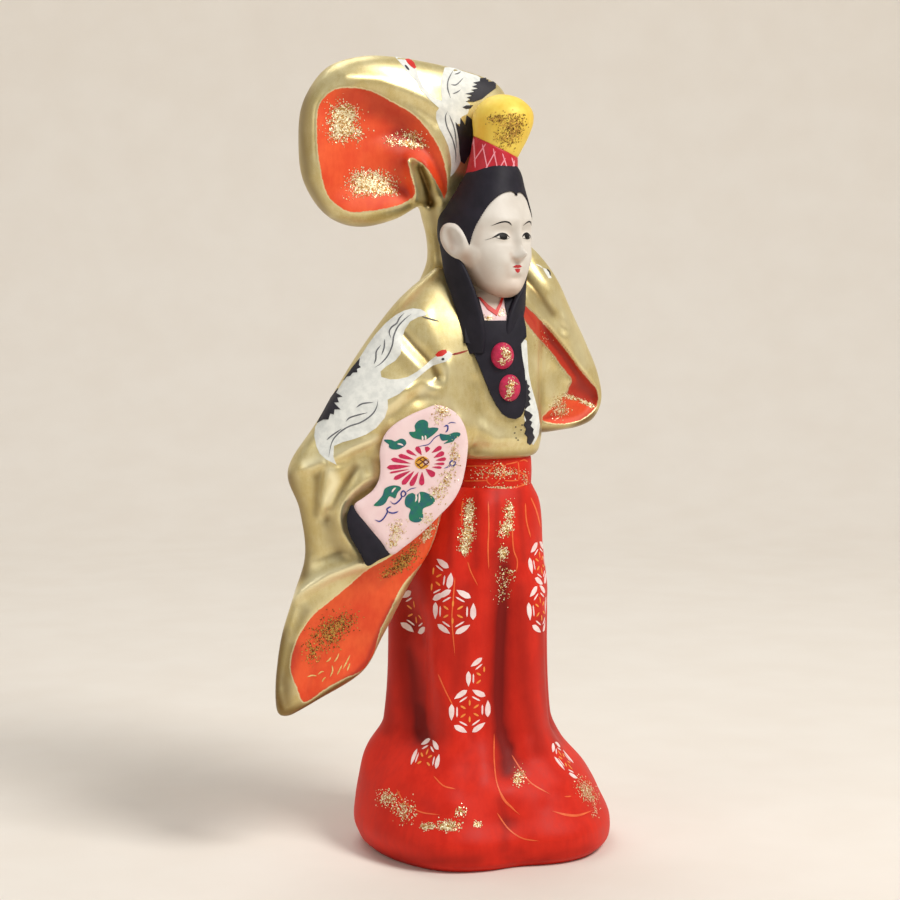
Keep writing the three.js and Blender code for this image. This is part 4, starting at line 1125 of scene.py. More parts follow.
def panel(outline, plane, low, high, round_off):
    """Slab in an upright plane between two lifts. Its outline is in the photograph's pixels."""
    turn = math.radians(plane[2])
    front = Vector((-math.sin(turn), -math.cos(turn), 0))
    middle = Vector((plane[0], plane[1], 0))
    flat = cells(outline.tolist(), CELL)
    spots = [(vertex.co.x, vertex.co.y) for vertex in flat.verts]
    rims = dict(zip(spots, 1 - ease(inside(np.array(spots), list(outline)) / FAN_EDGE_WIDTH)))

    def place(x, y, side):
        lift = high - round_off * float(rims[(x, y)]) if side > 0.5 else low
        origin, direction = from_photo(x, y)
        return origin + direction * ((lift - (origin - middle).dot(front)) / direction.dot(front))

    return slab(flat, place)


fan = piece("fan_leaf_skin", panel(FAN_OUTLINE, RIGHT_PLANE, FAN_BOTTOM, FAN_TOP, FAN_EDGE))
guard = piece("fan_guard_skin", panel(GUARD_OUTLINE, RIGHT_PLANE, FAN_BOTTOM, GUARD_TOP, FAN_EDGE))
measure(fan, guard)

# %% [markdown]
# ## Laying paint on the skins
# A brush mark is a thin closed film. Its outline is drawn flat, in pixels or in the head's measure,
# cut into cells, and each corner is dropped on the skin along its ray. Films are a tenth to a quarter
# of a millimetre thick, so they catch the light as thick paint does.

# %% Films and strokes
CAMERA_DEPTH = float(np.linalg.norm(CAMERA_PLACE - np.array([0, 0, 150])))
SHORT_RAY = 40
FILM_ROOT = -0.05
SHARP_EDGE = math.radians(40)


def surface(*pieces):
    """Search tree over pieces, in millimetres."""
    points, polygons = [], []
    for made in pieces:
        start = len(points)
        points += [tuple(p) for p in corners(made)]
        polygons += [[start + i for i in polygon.vertices] for polygon in made.data.polygons]
    return BVHTree.FromPolygons(points, polygons)


def dropper(tree, rays, over):
    """place() for slab(): the ray's first hit, raised over the skin on the top side."""
    depth = CAMERA_DEPTH if rays is from_photo else SHORT_RAY

    def place(x, y, side):
        origin, direction = rays(x, y)
        hit, normal, _, _ = tree.ray_cast(origin, direction)
        if hit is None:
            hit, normal, _, _ = tree.find_nearest(origin + direction * depth)
        if normal.dot(direction) > 0:
            normal = -normal
        return hit + normal * (over if side > 0.5 else FILM_ROOT)

    return place


def gathered(name, parts):
    """One object from several closed bmeshes."""
    made = piece(name, joined(parts))
    made.data.set_sharp_from_angle(angle=SHARP_EDGE)
    return made


def patch(outline, tree, over=0.08, rays=from_photo, step=CELL):
    """A film inside an outline."""
    return slab(cells(outline, step), dropper(tree, rays, over))


def straight(one, two):
    """Three points of a straight brush line."""
    return [one, ((one[0] + two[0]) / 2, (one[1] + two[1]) / 2), two]


def stroke(points, width, tree, over=0.1, rays=from_photo, taper=(0.3, 0.3), unit=2.0):
    """A brush line through points. Its width grows from a point and closes to one over the tapers."""
    line = flow(points)
    length = float(np.sum(np.linalg.norm(np.diff(line(np.linspace(0, 1, 40)), axis=0), axis=1)))
    flat = bmesh.new()
    bmesh.ops.create_grid(flat, x_segments=max(4, int(length / unit)), y_segments=2, size=0.5)
    for vertex in flat.verts:
        u, v = vertex.co.x + 0.5, vertex.co.y
        at = line(u)
        ahead = line(min(u + 0.01, 1)) - line(max(u - 0.01, 0))
        ahead /= max(np.linalg.norm(ahead), 1e-6)
        full = min(1, u / taper[0]) * min(1, (1 - u) / taper[1])
        half = width * max(0.04, math.sin(full * math.pi / 2)) * v
        vertex.co = (at[0] - ahead[1] * half, at[1] + ahead[0] * half, 0)
    return slab(flat, dropper(tree, rays, over))


# %% [markdown]
# ## Shader values
# The paints are described with ordinary arithmetic. A small class wraps a shader socket, so that a
# sum or a product adds the node that does it. Each paint is then a few readable lines.


# %% Shader arithmetic
def paint(code):
    """Linear colour from a painter's hex code."""
    channels = [int(code[k:k + 2], 16) / 255 for k in (1, 3, 5)]
    return tuple(c / 12.92 if c <= 0.04045 else ((c + 0.055) / 1.055) ** 2.4 for c in channels) + (1,)


class Value:
    """A number in a shader. Arithmetic on it adds Math nodes."""

    def __init__(self, tree, socket):
        self.tree = tree
        self.socket = socket

    def math(self, operation, *others, clamp=False):
        node = self.tree.nodes.new("ShaderNodeMath")
        node.operation = operation
        node.use_clamp = clamp
        for slot, value in zip(node.inputs, (self, *others)):
            if isinstance(value, Value):
                self.tree.links.new(value.socket, slot)
            else:
                slot.default_value = value
        return Value(self.tree, node.outputs[0])

    def __add__(self, other):
        return self.math("ADD", other)

    def __mul__(self, other):
        return self.math("MULTIPLY", other)

    def __sub__(self, other):
        return self.math("SUBTRACT", other)

    def __rsub__(self, other):
        return self.math("MULTIPLY", -1) + other

    __radd__ = __add__
    __rmul__ = __mul__

    def clamp(self):
        return self.math("ADD", 0, clamp=True)

    def step(self, low, high):
        """0 below low, 1 above high, smooth between."""
        node = self.tree.nodes.new("ShaderNodeMapRange")
        node.interpolation_type = "SMOOTHSTEP"
        self.tree.links.new(self.socket, node.inputs["Value"])
        node.inputs["From Min"].default_value = low
        node.inputs["From Max"].default_value = high
        return Value(self.tree, node.outputs["Result"])


# %% [markdown]
# A finish is one material. Every node is added by one method, and lengths in its patterns are in
# millimetres on the doll, so a grain of powder keeps its real size.

# %% One finish
class Finish:
    """A painted finish on the Principled shader."""

    def __init__(self, name, roughness, metallic=0.0, coat=0.0, coat_roughness=0.2, specular=0.5):
        self.material = bpy.data.materials.new(name)
        self.material.use_nodes = True
        self.tree = self.material.node_tree
        self.shader = self.tree.nodes["Principled BSDF"]
        self.set(Roughness=roughness, Metallic=metallic, Coat_Weight=coat)
        self.set(Coat_Roughness=coat_roughness, Specular_IOR_Level=specular)
        self.place = self.node("ShaderNodeTexCoord").outputs["Object"]

    def node(self, kind, settings=None, values=None):
        """Add a node, with settings by name and socket values or links by name or number."""
        made = self.tree.nodes.new(kind)
        for key, value in (settings or {}).items():
            setattr(made, key, value)
        for key, value in (values or {}).items():
            self.feed(made.inputs[key], value)
        return made

    def feed(self, slot, value):
        """Link a value to a socket, or set the socket."""
        if isinstance(value, Value):
            self.tree.links.new(value.socket, slot)
        elif isinstance(value, bpy.types.NodeSocket):
            self.tree.links.new(value, slot)
        else:
            slot.default_value = value

    def set(self, **values):
        """Feed sockets of the shader, with _ for a space in their names."""
        for key, value in values.items():
            self.feed(self.shader.inputs[key.replace("_", " ")], value)

    def attribute(self, name):
        """The number that is stored at the vertices under a name."""
        made = self.node("ShaderNodeAttribute", {"attribute_name": name})
        return Value(self.tree, made.outputs["Fac"])

    def stretched(self, stretch, shift=0.0):
        """Object coordinates in millimetres, divided by stretch along each axis."""
        factors = [1 / MM / s for s in stretch]
        scaled = self.node("ShaderNodeVectorMath", {"operation": "MULTIPLY_ADD"},
                           {0: self.place, 1: factors, 2: (shift, shift, shift)})
        return scaled.outputs[0]

    def noise(self, size, detail=3.0, rough=0.5, stretch=(1, 1, 1), shift=0.0):
        """Cloudy pattern whose patches are about size millimetres."""
        where = self.stretched([size * s for s in stretch], shift)
        values = {"Vector": where, "Scale": 1.0, "Detail": detail, "Roughness": rough}
        made = self.node("ShaderNodeTexNoise", None, values)
        return Value(self.tree, made.outputs["Fac"])

    def grains(self, size):
        """A random number for each small cell."""
        made = self.node("ShaderNodeTexVoronoi", None, {"Vector": self.stretched([size] * 3), "Scale": 1.0})
        tone = self.node("ShaderNodeSeparateColor", None, {0: made.outputs["Color"]})
        return Value(self.tree, tone.outputs[0])

    def along(self, axis):
        """Object coordinate along an axis, in millimetres."""
        split = self.node("ShaderNodeSeparateXYZ", None, {0: self.place})
        return Value(self.tree, split.outputs[axis]) * (1 / MM)

    def blend(self, factor, one, two):
        """Colour between two colours."""
        made = self.node("ShaderNodeMix", {"data_type": "RGBA"}, {0: factor, 6: one, 7: two})
        return made.outputs[2]

    def bump(self, height, distance, strength=1.0):
        """Raise the surface by height, a value around 0 to 1, times distance in millimetres."""
        values = {"Height": height, "Distance": distance * MM, "Strength": strength}
        made = self.node("ShaderNodeBump", None, values)
        self.tree.links.new(made.outputs["Normal"], self.shader.inputs["Normal"])


# %% [markdown]
# ## Paints
# The real colours are powder pigments bound in glue over a white ground. They are nearly matt and a
# little uneven from the brush. Painted shade makes them darker in the folds and the gold browner in
# the hollows. The gold is bronze powder: it shines softly.


# %% Recipes
def brushed(name, light, dark, deep, roughness, **more):
    """Matt colour with uneven brushing, and a deeper colour as painted shade in the hollows."""
    finish = Finish(name, roughness, **more)
    cloud = finish.noise(9, 4, 0.55)
    streak = finish.noise(2.2, 3, 0.5, stretch=(1, 1, 4))
    tone = (cloud * 0.65 + streak * 0.35).step(0.34, 0.68)
    # painted shade: the deep colour in the hollows and along the stored strokes
    hollow = finish.attribute("hollow").step(0.02, 0.62) * 0.85 + finish.attribute("shade")
    colour = finish.blend(tone, paint(dark), paint(light))
    finish.set(Base_Color=finish.blend(hollow.clamp(), colour, paint(deep)))
    finish.set(Roughness=roughness + (tone - 0.5) * 0.12)
    finish.bump(streak * 0.5 + finish.noise(0.7, 2, 0.6) * 0.5, 0.06, 0.5)
    return finish


def gold_and_orange():
    """Bronze powder gold outside, orange where the lining attribute is above zero."""
    finish = Finish("gold_paint", 0.38)
    cloud = finish.noise(11, 4, 0.55)
    streak = finish.noise(1.5, 4, 0.6, stretch=(1, 1, 2.6), shift=3.0)
    tone = (cloud * 0.7 + streak * 0.3).step(0.32, 0.7)
    powder = finish.grains(0.16)
    # painted shade: the gold goes brown and the orange deeper in the hollows
    hollow = finish.attribute("hollow").step(0.1, 1.2)
    gold = finish.blend(tone, paint("#cfb974"), paint("#e6d8a2"))
    gold = finish.blend(powder * 0.25, gold, paint("#fbf2cc"))
    gold = finish.blend(hollow * 0.7, gold, paint("#6e5420"))
    # painted shade along the stored strokes, and painted highlight where they are below zero
    shade = finish.attribute("shade")
    gold = finish.blend((shade * (0.8 + tone * 0.2)).clamp(), gold, paint("#745520"))
    painted_highlight = (shade * -1).clamp()
    gold = finish.blend(painted_highlight * 0.85, gold, paint("#fff6cc"))
    orange = finish.blend(tone, paint("#e24214"), paint("#f2602a"))
    # painted shade on the orange, from the strokes and the hollows
    orange = finish.blend((shade + hollow * 0.9).clamp(), orange, paint("#b02a12"))
    edge = finish.attribute("lining") + (finish.noise(1.4, 3, 0.6) - 0.5) * 0.9
    inside_mouth = edge.step(0.55, 0.95)
    # the pale rim round the orange mouths is a painted highlight along their edge
    rim = edge.step(0.05, 0.4) - inside_mouth
    gold = finish.blend(rim.clamp() * 0.5, gold, paint("#f6e8ba"))
    finish.set(Base_Color=finish.blend(inside_mouth, gold, orange))
    shine = 1 - inside_mouth
    dull = 0.56 - shine * (0.17 + painted_highlight * 0.05)
    finish.set(Metallic=shine * 0.7, Roughness=dull + (powder - 0.5) * shine * 0.12)
    finish.bump(streak * 0.4 + powder * 0.12 + finish.noise(0.6, 2, 0.6) * 0.33, 0.06, 0.5)
    return finish


def gofun():
    """Ground oyster shell white, warmer low on the head, painted shade in hollows and strokes."""
    finish = Finish("white_gofun", 0.52, coat=0.06, coat_roughness=0.35, specular=0.4)
    hollow = finish.attribute("hollow").step(0.05, 0.8)
    cloud = finish.noise(7, 3, 0.5).step(0.3, 0.7)
    white = finish.blend(cloud, paint("#d6cfc5"), paint("#ded8cf"))
    # warmer toward the bottom of the head, and warm painted shade in the hollows
    low = 1 - finish.along(2).step(212, 222)
    warm = finish.blend((low * 0.5 + hollow * 0.7).clamp(), white, paint("#d9b9a2"))
    # darker painted shade along the stored strokes
    warm = finish.blend(finish.attribute("shade"), warm, paint("#b4937c"))
    finish.set(Base_Color=warm)
    finish.bump(finish.noise(0.8, 3, 0.6), 0.03, 0.4)
    return finish


def bare_clay():
    """Fired clay, which the painters leave bare under the foot."""
    finish = Finish("bare_clay", 0.85)
    cloud = finish.noise(6, 5, 0.6).step(0.3, 0.7)
    grain = finish.grains(0.5)
    colour = finish.blend(cloud, paint("#a9744f"), paint("#c48f69"))
    finish.set(Base_Color=finish.blend(grain.step(0.86, 0.95) * 0.7, colour, paint("#7c5238")))
    finish.bump(cloud * 0.4 + grain * 0.6, 0.12, 0.7)
    return finish


def plain(name, light, dark, roughness, size=3.0, **more):
    """A small area of one colour, a little uneven."""
    finish = Finish(name, roughness, **more)
    cloud = finish.noise(size, 3, 0.55).step(0.3, 0.72)
    finish.set(Base_Color=finish.blend(cloud, paint(dark), paint(light)))
    finish.bump(finish.noise(0.5, 2, 0.6), 0.03, 0.4)
    return finish


# %% [markdown]
# The painter's box. Each colour is named for what it paints. It has a lighter and a darker tone and a
# roughness, and all of them stand together so that they are mended in one place.

# %% All the colours
GOLD = gold_and_orange()
RED = brushed("red_paint", "#dd2c18", "#cc2210", "#7e0f08", 0.54, specular=0.22)
BLACK = plain("black_paint", "#24212c", "#1b1923", 0.6, 6, specular=0.25)
WHITE = gofun()
CRIMSON = plain("crimson_paint", "#c81c30", "#b31427", 0.5, 4)
POMPOM = plain("pompom_crimson", "#d22858", "#b41a44", 0.6, 1.4)
PALE = plain("pink_paint", "#f6dcdc", "#efd0d1", 0.6, 8)
YELLOW = brushed("yellow_gold_paint", "#fadc5e", "#f0ca48", "#b88c1e", 0.5, metallic=0.12)
CLAY = bare_clay()
FEATHER_WHITE = plain("feather_white", "#eceee9", "#d9dcd8", 0.6, 2.4)
FEATHER_BLACK = plain("feather_black", "#191720", "#24212c", 0.55)
FEATHER_GREY = plain("feather_grey", "#6d6f74", "#55575c", 0.6)
PETAL = plain("petal_crimson", "#d2225a", "#b81a48", 0.55, 1.5)
DISC = plain("disc_yellow", "#f0b63a", "#dc9a28", 0.5, 1.0)
HATCH = plain("hatch_brown", "#7a3418", "#5c2412", 0.6)
LEAF = plain("leaf_green", "#0f7a56", "#1a5f6c", 0.55, 2.2)
TENDRIL = plain("tendril_blue", "#33409a", "#252f7a", 0.55)
LINE = plain("line_orange", "#f07034", "#e45a24", 0.5)
DASH = plain("dash_white", "#fbe9e6", "#f0d4d2", 0.6)
DASH_GOLD = plain("dash_orange", "#f6a248", "#ec8a34", 0.5)
RED_LINE = plain("red_line", "#d92416", "#c41c10", 0.5)
LIP = plain("lip_red", "#cc3034", "#b02428", 0.5, 1.0)
LATTICE_PINK = plain("lattice_pink", "#f4a8b4", "#ee909e", 0.55)
BEAK = plain("beak_red", "#a03024", "#8a241c", 0.55)
INK = plain("ink", "#0f0e10", "#171416", 0.55, specular=0.25)
PALE_GOLD = plain("pale_gold", "#f4dc94", "#e0b860", 0.45, 1.0, metallic=0.3)
print("paints:", len(bpy.data.materials))

# %% [markdown]
# ## Breast piece, collar and pompoms
# These are thick inlays on the breast, so they are slabs about a millimetre high. Their outlines
# are drawn over the photograph, and they lie on the robe and the neck.

# %% Inlays on the breast
BIB = [
    (463, 330), (464, 343), (469, 344.5), (474, 355), (479, 366.4), (484.4, 380), (490, 394),
    (496, 405.5), (502, 414), (508, 418), (514, 419), (519, 416.4), (522, 411), (523.8, 400), (524, 387),
    (522.4, 370), (520, 356), (519, 344), (524, 337), (523.4, 328), (521, 318), (518, 305), (514.4, 290),
    (502, 295), (504.2, 308), (507, 321.6), (484, 321.6), (481.4, 311), (478.4, 299), (470, 300),
]
COLLAR = [
    (478.4, 299), (481.4, 311), (484, 321.8), (507, 321.8), (504.2, 308), (502.4, 296), (500, 305),
    (495.6, 316), (487, 309.4),
]
UNDER_COLLAR = [
    (478.4, 298.6), (480.6, 298.6), (488, 306), (494.8, 311.4), (498.4, 304), (501.2, 296), (503, 296.4),
    (500.8, 305.4), (496, 317), (487, 310.4),
]
NECK_WHITE = [
    (472, 284), (478.6, 299.6), (487.6, 307.4), (494.8, 312.6), (498.6, 305), (501.8, 297), (503.4, 286),
]
# heights over the robe
BIB_HEIGHT = 1.4
COLLAR_HEIGHT = 0.8
UNDER_COLLAR_HEIGHT = 1.1
NECK_HEIGHT = 0.6

neck_shape = piece("neck_shape", neck())
breast_tree = surface(robe, neck_shape)
bpy.data.objects.remove(neck_shape)
bib = gathered("bib_skin", [patch(BIB, breast_tree, BIB_HEIGHT)])
collar = gathered("collar_skin", [patch(COLLAR, breast_tree, COLLAR_HEIGHT, step=FINE_CELL)])
under_film = patch(UNDER_COLLAR, breast_tree, UNDER_COLLAR_HEIGHT, step=FINE_CELL)
under_collar = gathered("under_collar_skin", [under_film])
neck_parts = [patch(NECK_WHITE, breast_tree, NECK_HEIGHT)]
measure(bib, collar, under_collar)

# %% [markdown]
# The two pompoms are low domes of clay, painted crimson. Wool would need fibres, but these are
# smooth, so each is a flattened ball that is sunk into the breast.

# %% Pompoms
# middle and half widths
POMPOMS = [((-1.8, -17.6, 189), (4.5, 3.4, 5)), ((1, -17.6, 176.9), (4.5, 3.4, 5.2))]
pompoms = gathered("pompoms", [ball(*dome, around=64, along=40) for dome in POMPOMS])
measure(pompoms)

# %% [markdown]
# ## Cranes
# Cranes are painted in white over the gold, with black wing feathers, a red cap and grey feather
# lines. A texture would hold them too, but thick paint stands up from the ground and catches light at
# its edge, so each brushful is a closed film on the skin.

# %% Search trees and heights of the films
robe_tree = surface(robe)
skirt_tree = surface(skirt)
face_tree = surface(face)
fan_tree = surface(fan)
band_tree = surface(band)
cap_tree = surface(cap_band)
WHITE_HEIGHT = 0.12
BLACK_HEIGHT = 0.28
GREY_HEIGHT = 0.22
RED_HEIGHT = 0.2
print("thickest film:", BLACK_HEIGHT, "mm")


def disc(middle, across, up, count=18):
    """Outline of a small round spot."""
    turns = np.linspace(0, 2 * np.pi, count, endpoint=False)
    return [(middle[0] + across * math.cos(t), middle[1] + up * math.sin(t)) for t in turns]


# %% [markdown]
# The crane on the hanging sleeve flies down to the left with its neck stretched to the right. Its
# body, neck and tail are one white shape, and the wing tips are black with ragged ends.

# %% Crane on the hanging sleeve
CRANE_BODY = [
    (426.6, 313), (421, 309.4), (413, 308.4), (404, 310.8), (396, 315), (386, 323), (376, 334),
    (368, 345), (360.4, 357), (352, 369), (344, 380), (337, 392), (330, 404), (322, 416), (315.4, 427),
    (314.4, 436), (316.4, 446), (319.6, 453.4), (326, 459.4), (336.4, 464.7), (333.4, 457), (334, 446),
    (342, 442.4), (354.3, 439), (366, 434.6), (376, 428), (384.4, 418), (387.8, 408), (387.6, 399.6),
    (393, 397), (399, 394), (408, 386.6), (416.8, 378.6), (426, 370.6), (433, 365.4), (440, 363.4),
    (446, 361.6), (451, 357.6), (452.4, 353.8), (449, 351.2), (443, 352), (437, 355.4), (431, 359.6),
    (425.7, 364.7), (417, 371.6), (407.9, 376.9), (398, 379.2), (390, 379.4), (381.4, 377),
    (380.4, 371.6), (386.4, 366.2), (395, 361), (400.6, 354), (401.4, 346), (402, 338), (404.8, 329.6),
    (410, 321.6), (418, 317.2), (426, 315.4),
]
CRANE_BLACK = [
    [(360, 358.6), (359, 365), (361, 367.4), (357, 369), (357.4, 372.4), (353, 372.6), (350.4, 376),
     (347, 376.8), (344, 380.6), (346.4, 376.6), (352, 368.4)],
    [(338, 388.6), (336.4, 393), (342.7, 396.7), (337.4, 397.6), (339, 402.4), (334, 402.6),
     (340.6, 409.5), (334.6, 409.4), (334, 414.6), (330.4, 413.6), (328.6, 419.6), (323.4, 419.6),
     (317.4, 422.9), (323.4, 412), (331, 398)],
]
CRANE_LINES = [
    [(374.6, 367.8), (381.6, 362.9), (388, 355.3), (392.5, 345.1), (393.8, 336.1), (397.6, 327.2),
     (404.6, 319.5), (411, 314.4)],
    [(391.2, 338.7), (389.3, 332.3), (391.8, 327.2), (396.9, 323.4), (399.5, 318.3), (404.6, 313.2)],
    [(384.8, 339.3), (384.2, 347.6), (381.6, 355.3)],
    [(381, 345.1), (376.5, 351.4), (375.9, 359.1), (374, 364.2)],
    [(378.1, 399.3), (376.5, 407.6), (371.4, 415.2), (361.2, 422.2), (348.5, 426.7), (338.3, 433.7),
     (331.9, 442.6), (328.7, 457.3)],
    [(373.3, 402.4), (362.5, 403.7), (356.1, 407.6)],
    [(367.6, 412.7), (357.4, 415.2), (349.7, 417.8), (345.9, 421.6)],
    [(342.1, 428.6), (331.9, 435.6), (326.8, 440.1)], [(422, 316.6), (430, 318.8), (439, 321.5)],
]
CRANE_CAP = [
    (435.2, 354.8), (438.4, 351.4), (442, 350), (446, 349.7), (446.7, 352.7), (442.2, 356.3),
    (437.1, 356.7),
]
CRANE_EYE = (442.9, 359.2)
CRANE_BEAK = [(452, 354.6), (460, 352.8), (468.4, 350.2)]

white_parts = [patch(CRANE_BODY, robe_tree, WHITE_HEIGHT, step=FINE_CELL)]
black_parts = [patch(shape, robe_tree, BLACK_HEIGHT, step=FINE_CELL) for shape in CRANE_BLACK]
grey_parts = [stroke(path, 1.3, robe_tree, GREY_HEIGHT) for path in CRANE_LINES]
red_parts = [patch(CRANE_CAP, robe_tree, RED_HEIGHT)]
black_parts.append(patch(disc(CRANE_EYE, 1.5, 1.2), robe_tree, RED_HEIGHT))
beak_parts = [stroke(CRANE_BEAK, 1.9, robe_tree, 0.17, taper=(0.05, 0.4))]
print("hanging sleeve:", len(white_parts), "white,", len(black_parts), "black,", len(grey_parts), "grey")

# %% [markdown]
# A second crane climbs the thrown sleeve, with its neck stretched up and one wing. What lies behind
# the cap can't be seen, so it isn't painted there.

# %% Crane on the raised sleeve
RAISED_NECK = [
    (394.9, 56.9), (400, 57.6), (407, 58.4), (412, 61), (415.8, 67.4), (418.7, 77.6), (422.8, 86.7),
    (429.9, 94.9), (437, 99.6), (441.6, 100.6), (440.8, 88.8), (441.8, 77), (444.6, 67.6), (450, 67.6),
    (455, 68.6), (461, 70.8), (469, 73.4), (477, 75.8), (482, 79), (478, 84), (477, 89), (472, 93),
    (470, 98), (466.4, 101.6), (470, 104.6), (468.8, 110), (467.4, 114), (461.4, 116.8), (460.4, 124),
    (456.4, 124), (457, 131), (458.7, 141), (459.4, 153), (460.6, 161), (458.4, 166), (454, 173),
    (450.4, 176.6), (451.3, 165), (450.6, 157), (448.2, 146), (444.2, 136.7), (439, 127.6), (436, 118.4),
    (436.2, 112), (439, 108), (434, 103.6), (427.9, 98), (420.7, 89.8), (416.6, 81.6), (411, 75.5),
    (405.4, 69.4), (400.6, 63.3),
]
RAISED_BLACK = [
    [(479.9, 78.6), (487, 78.2), (492, 81), (495.6, 84), (495.4, 88.6), (488.1, 93.9), (481.9, 99),
     (473.8, 102), (465.6, 101.5), (470.6, 99.4), (466.7, 97.4), (472.4, 95.6), (465.2, 93.9),
     (474.6, 91.6), (470.8, 90), (478.4, 88.6), (472, 86.9), (477, 84.6), (473.1, 82.9), (479.6, 81.4)],
    [(462.4, 107.2), (466, 105.4), (473, 105.2), (470.4, 108.4), (466, 109)],
    [(466.6, 115.3), (471.7, 119.4), (472.8, 129.6), (471.9, 141.8), (469.7, 154.1), (467, 158),
     (464.3, 163.8), (460.5, 161.2), (459.2, 152), (458.8, 139.8), (456.6, 129.6), (455.3, 122.4),
     (459.8, 127), (460.3, 117.9), (465.2, 125.6)],
]
RAISED_LINES = [
    [(452.9, 70.9), (448.3, 79.6), (447.4, 87.8), (450.3, 98)],
    [(454.4, 74.5), (458, 73.6), (460.5, 71.9)], [(450.8, 84.7), (456.4, 84.7), (463.6, 77.6)],
    [(452.3, 93.9), (456.6, 92.4), (460.5, 89.8)],
    [(447.2, 111.2), (445.2, 117.3), (447.2, 127.6), (452.3, 138.8), (455.4, 152), (455.4, 162.2)],
    [(449.3, 115.3), (454.4, 129.6), (456.4, 148)],
]
RAISED_CAP = [
    (405.2, 59.4), (409.6, 58.9), (414, 62.8), (416, 67.6), (414.4, 69), (410.4, 66.2), (407.2, 62.8),
]
RAISED_EYE = [(404.7, 65), (406.8, 67.6), (409.2, 70.4)]

white_parts.append(patch(RAISED_NECK, robe_tree, WHITE_HEIGHT))
black_parts += [patch(shape, robe_tree, BLACK_HEIGHT, step=FINE_CELL) for shape in RAISED_BLACK]
black_parts.append(stroke(RAISED_EYE, 1.9, robe_tree, RED_HEIGHT, unit=0.8))
grey_parts += [stroke(path, 1.1, robe_tree, GREY_HEIGHT) for path in RAISED_LINES]
red_parts.append(patch(RAISED_CAP, robe_tree, RED_HEIGHT))
print("raised sleeve:", len(RAISED_BLACK), "black shapes,", len(RAISED_LINES), "grey lines")

# %% [markdown]
# A wing of a third crane runs down the breast, cut off by the hair over it, and the tip of a fourth
# shows at the lifted shoulder. Both are made as the large one is.

# %% Cranes on the breast and the lifted sleeve
BREAST_CRANE = [
    (519.6, 342), (523, 338), (526.6, 341), (527.4, 356), (528.4, 372), (531, 386), (535, 400),
    (538, 412), (539.6, 424), (538.6, 434), (536, 440), (533, 445), (530, 441), (527, 430), (524, 418),
    (525, 405), (524, 392), (523, 376), (521.4, 357),
]
BREAST_BLACK = [
    [(524, 381), (526.4, 380), (527, 384), (529.4, 386), (527.6, 389), (530, 392), (528, 395),
     (530.6, 399), (528.4, 401), (530, 405), (527, 407), (525, 409.6), (524.4, 402), (524.6, 392)],
    [(524.6, 410), (529, 412), (532.4, 415), (531, 418), (529, 420), (532, 422), (530.4, 426),
     (533.4, 429), (532.4, 433), (534.4, 437), (532, 442), (529.6, 445), (527, 443), (527.4, 437),
     (524.4, 434), (526, 429), (523.4, 425), (526, 420), (524, 415)],
]
BREAST_SPOTS = [(515.6, 427), (514.6, 433), (516, 438), (518, 440), (521, 430), (522, 425)]
SMALL_CRANE = [
    (542.4, 268), (546, 269), (549, 273), (551.6, 278), (548.6, 278.4), (546.4, 275), (544.4, 271.8),
]
SMALL_NECK = [(534.6, 264), (539, 265.6), (543, 268.6)]
SMALL_WING = [(547, 269), (549.4, 272.4), (550.2, 276)]

white_parts.append(patch(BREAST_CRANE, robe_tree, WHITE_HEIGHT, step=FINE_CELL))
black_parts += [patch(shape, robe_tree, 0.26, step=FINE_CELL) for shape in BREAST_BLACK]
white_parts.append(patch(SMALL_CRANE, robe_tree, WHITE_HEIGHT, step=FINE_CELL))
white_parts.append(stroke(SMALL_NECK, 0.9, robe_tree, WHITE_HEIGHT))
black_parts.append(stroke(SMALL_WING, 1.3, robe_tree, 0.17, unit=1.0))
black_parts += [patch(disc(spot, 0.8, 0.6, 10), robe_tree, 0.16) for spot in BREAST_SPOTS]
print("all cranes:", len(white_parts), "white,", len(black_parts), "black,", len(grey_parts), "grey")

# %% [markdown]
# ## Fan painting
# The fan carries a crimson chrysanthemum with green leaves and blue tendrils. The petals could be
# outlines like the cranes, but each is one stroke of a loaded brush, thin at the root and full at the
# tip, so it is made as a stroke.

# %% Chrysanthemum, leaves and tendrils
FLOWER = (422.1, 462.6)
# tip, root and width of each petal
PETALS = [
    ((416.3, 446.6), (421.6, 455), 4.7), ((427.9, 446.6), (426.3, 452.4), 5.2),
    ((441.6, 446.6), (431.6, 452.8), 4.2), ((444.2, 452.4), (433.7, 457.6), 4.7),
    ((446.2, 458.7), (435.8, 460.3), 3.6), ((444.6, 463.7), (434.2, 463.9), 2.5),
    ((441.8, 467.6), (432.1, 467.1), 2.5), ((434.6, 476), (425.8, 468.9), 6),
    ((421.6, 485.5), (422.1, 472), 5.2), ((410.5, 486), (418.4, 472), 5),
    ((402.1, 484.5), (414.2, 471), 5), ((393.7, 479.2), (410.5, 470.8), 4.2),
    ((389.5, 472.9), (408.9, 469.2), 1.9), ((386.8, 467.6), (410, 466), 4.7),
    ((391, 459), (410.5, 463.4), 4.2), ((398.4, 455.2), (413.7, 459.4), 4.2),
    ((406.3, 450.3), (416.6, 455.8), 3.4),
]
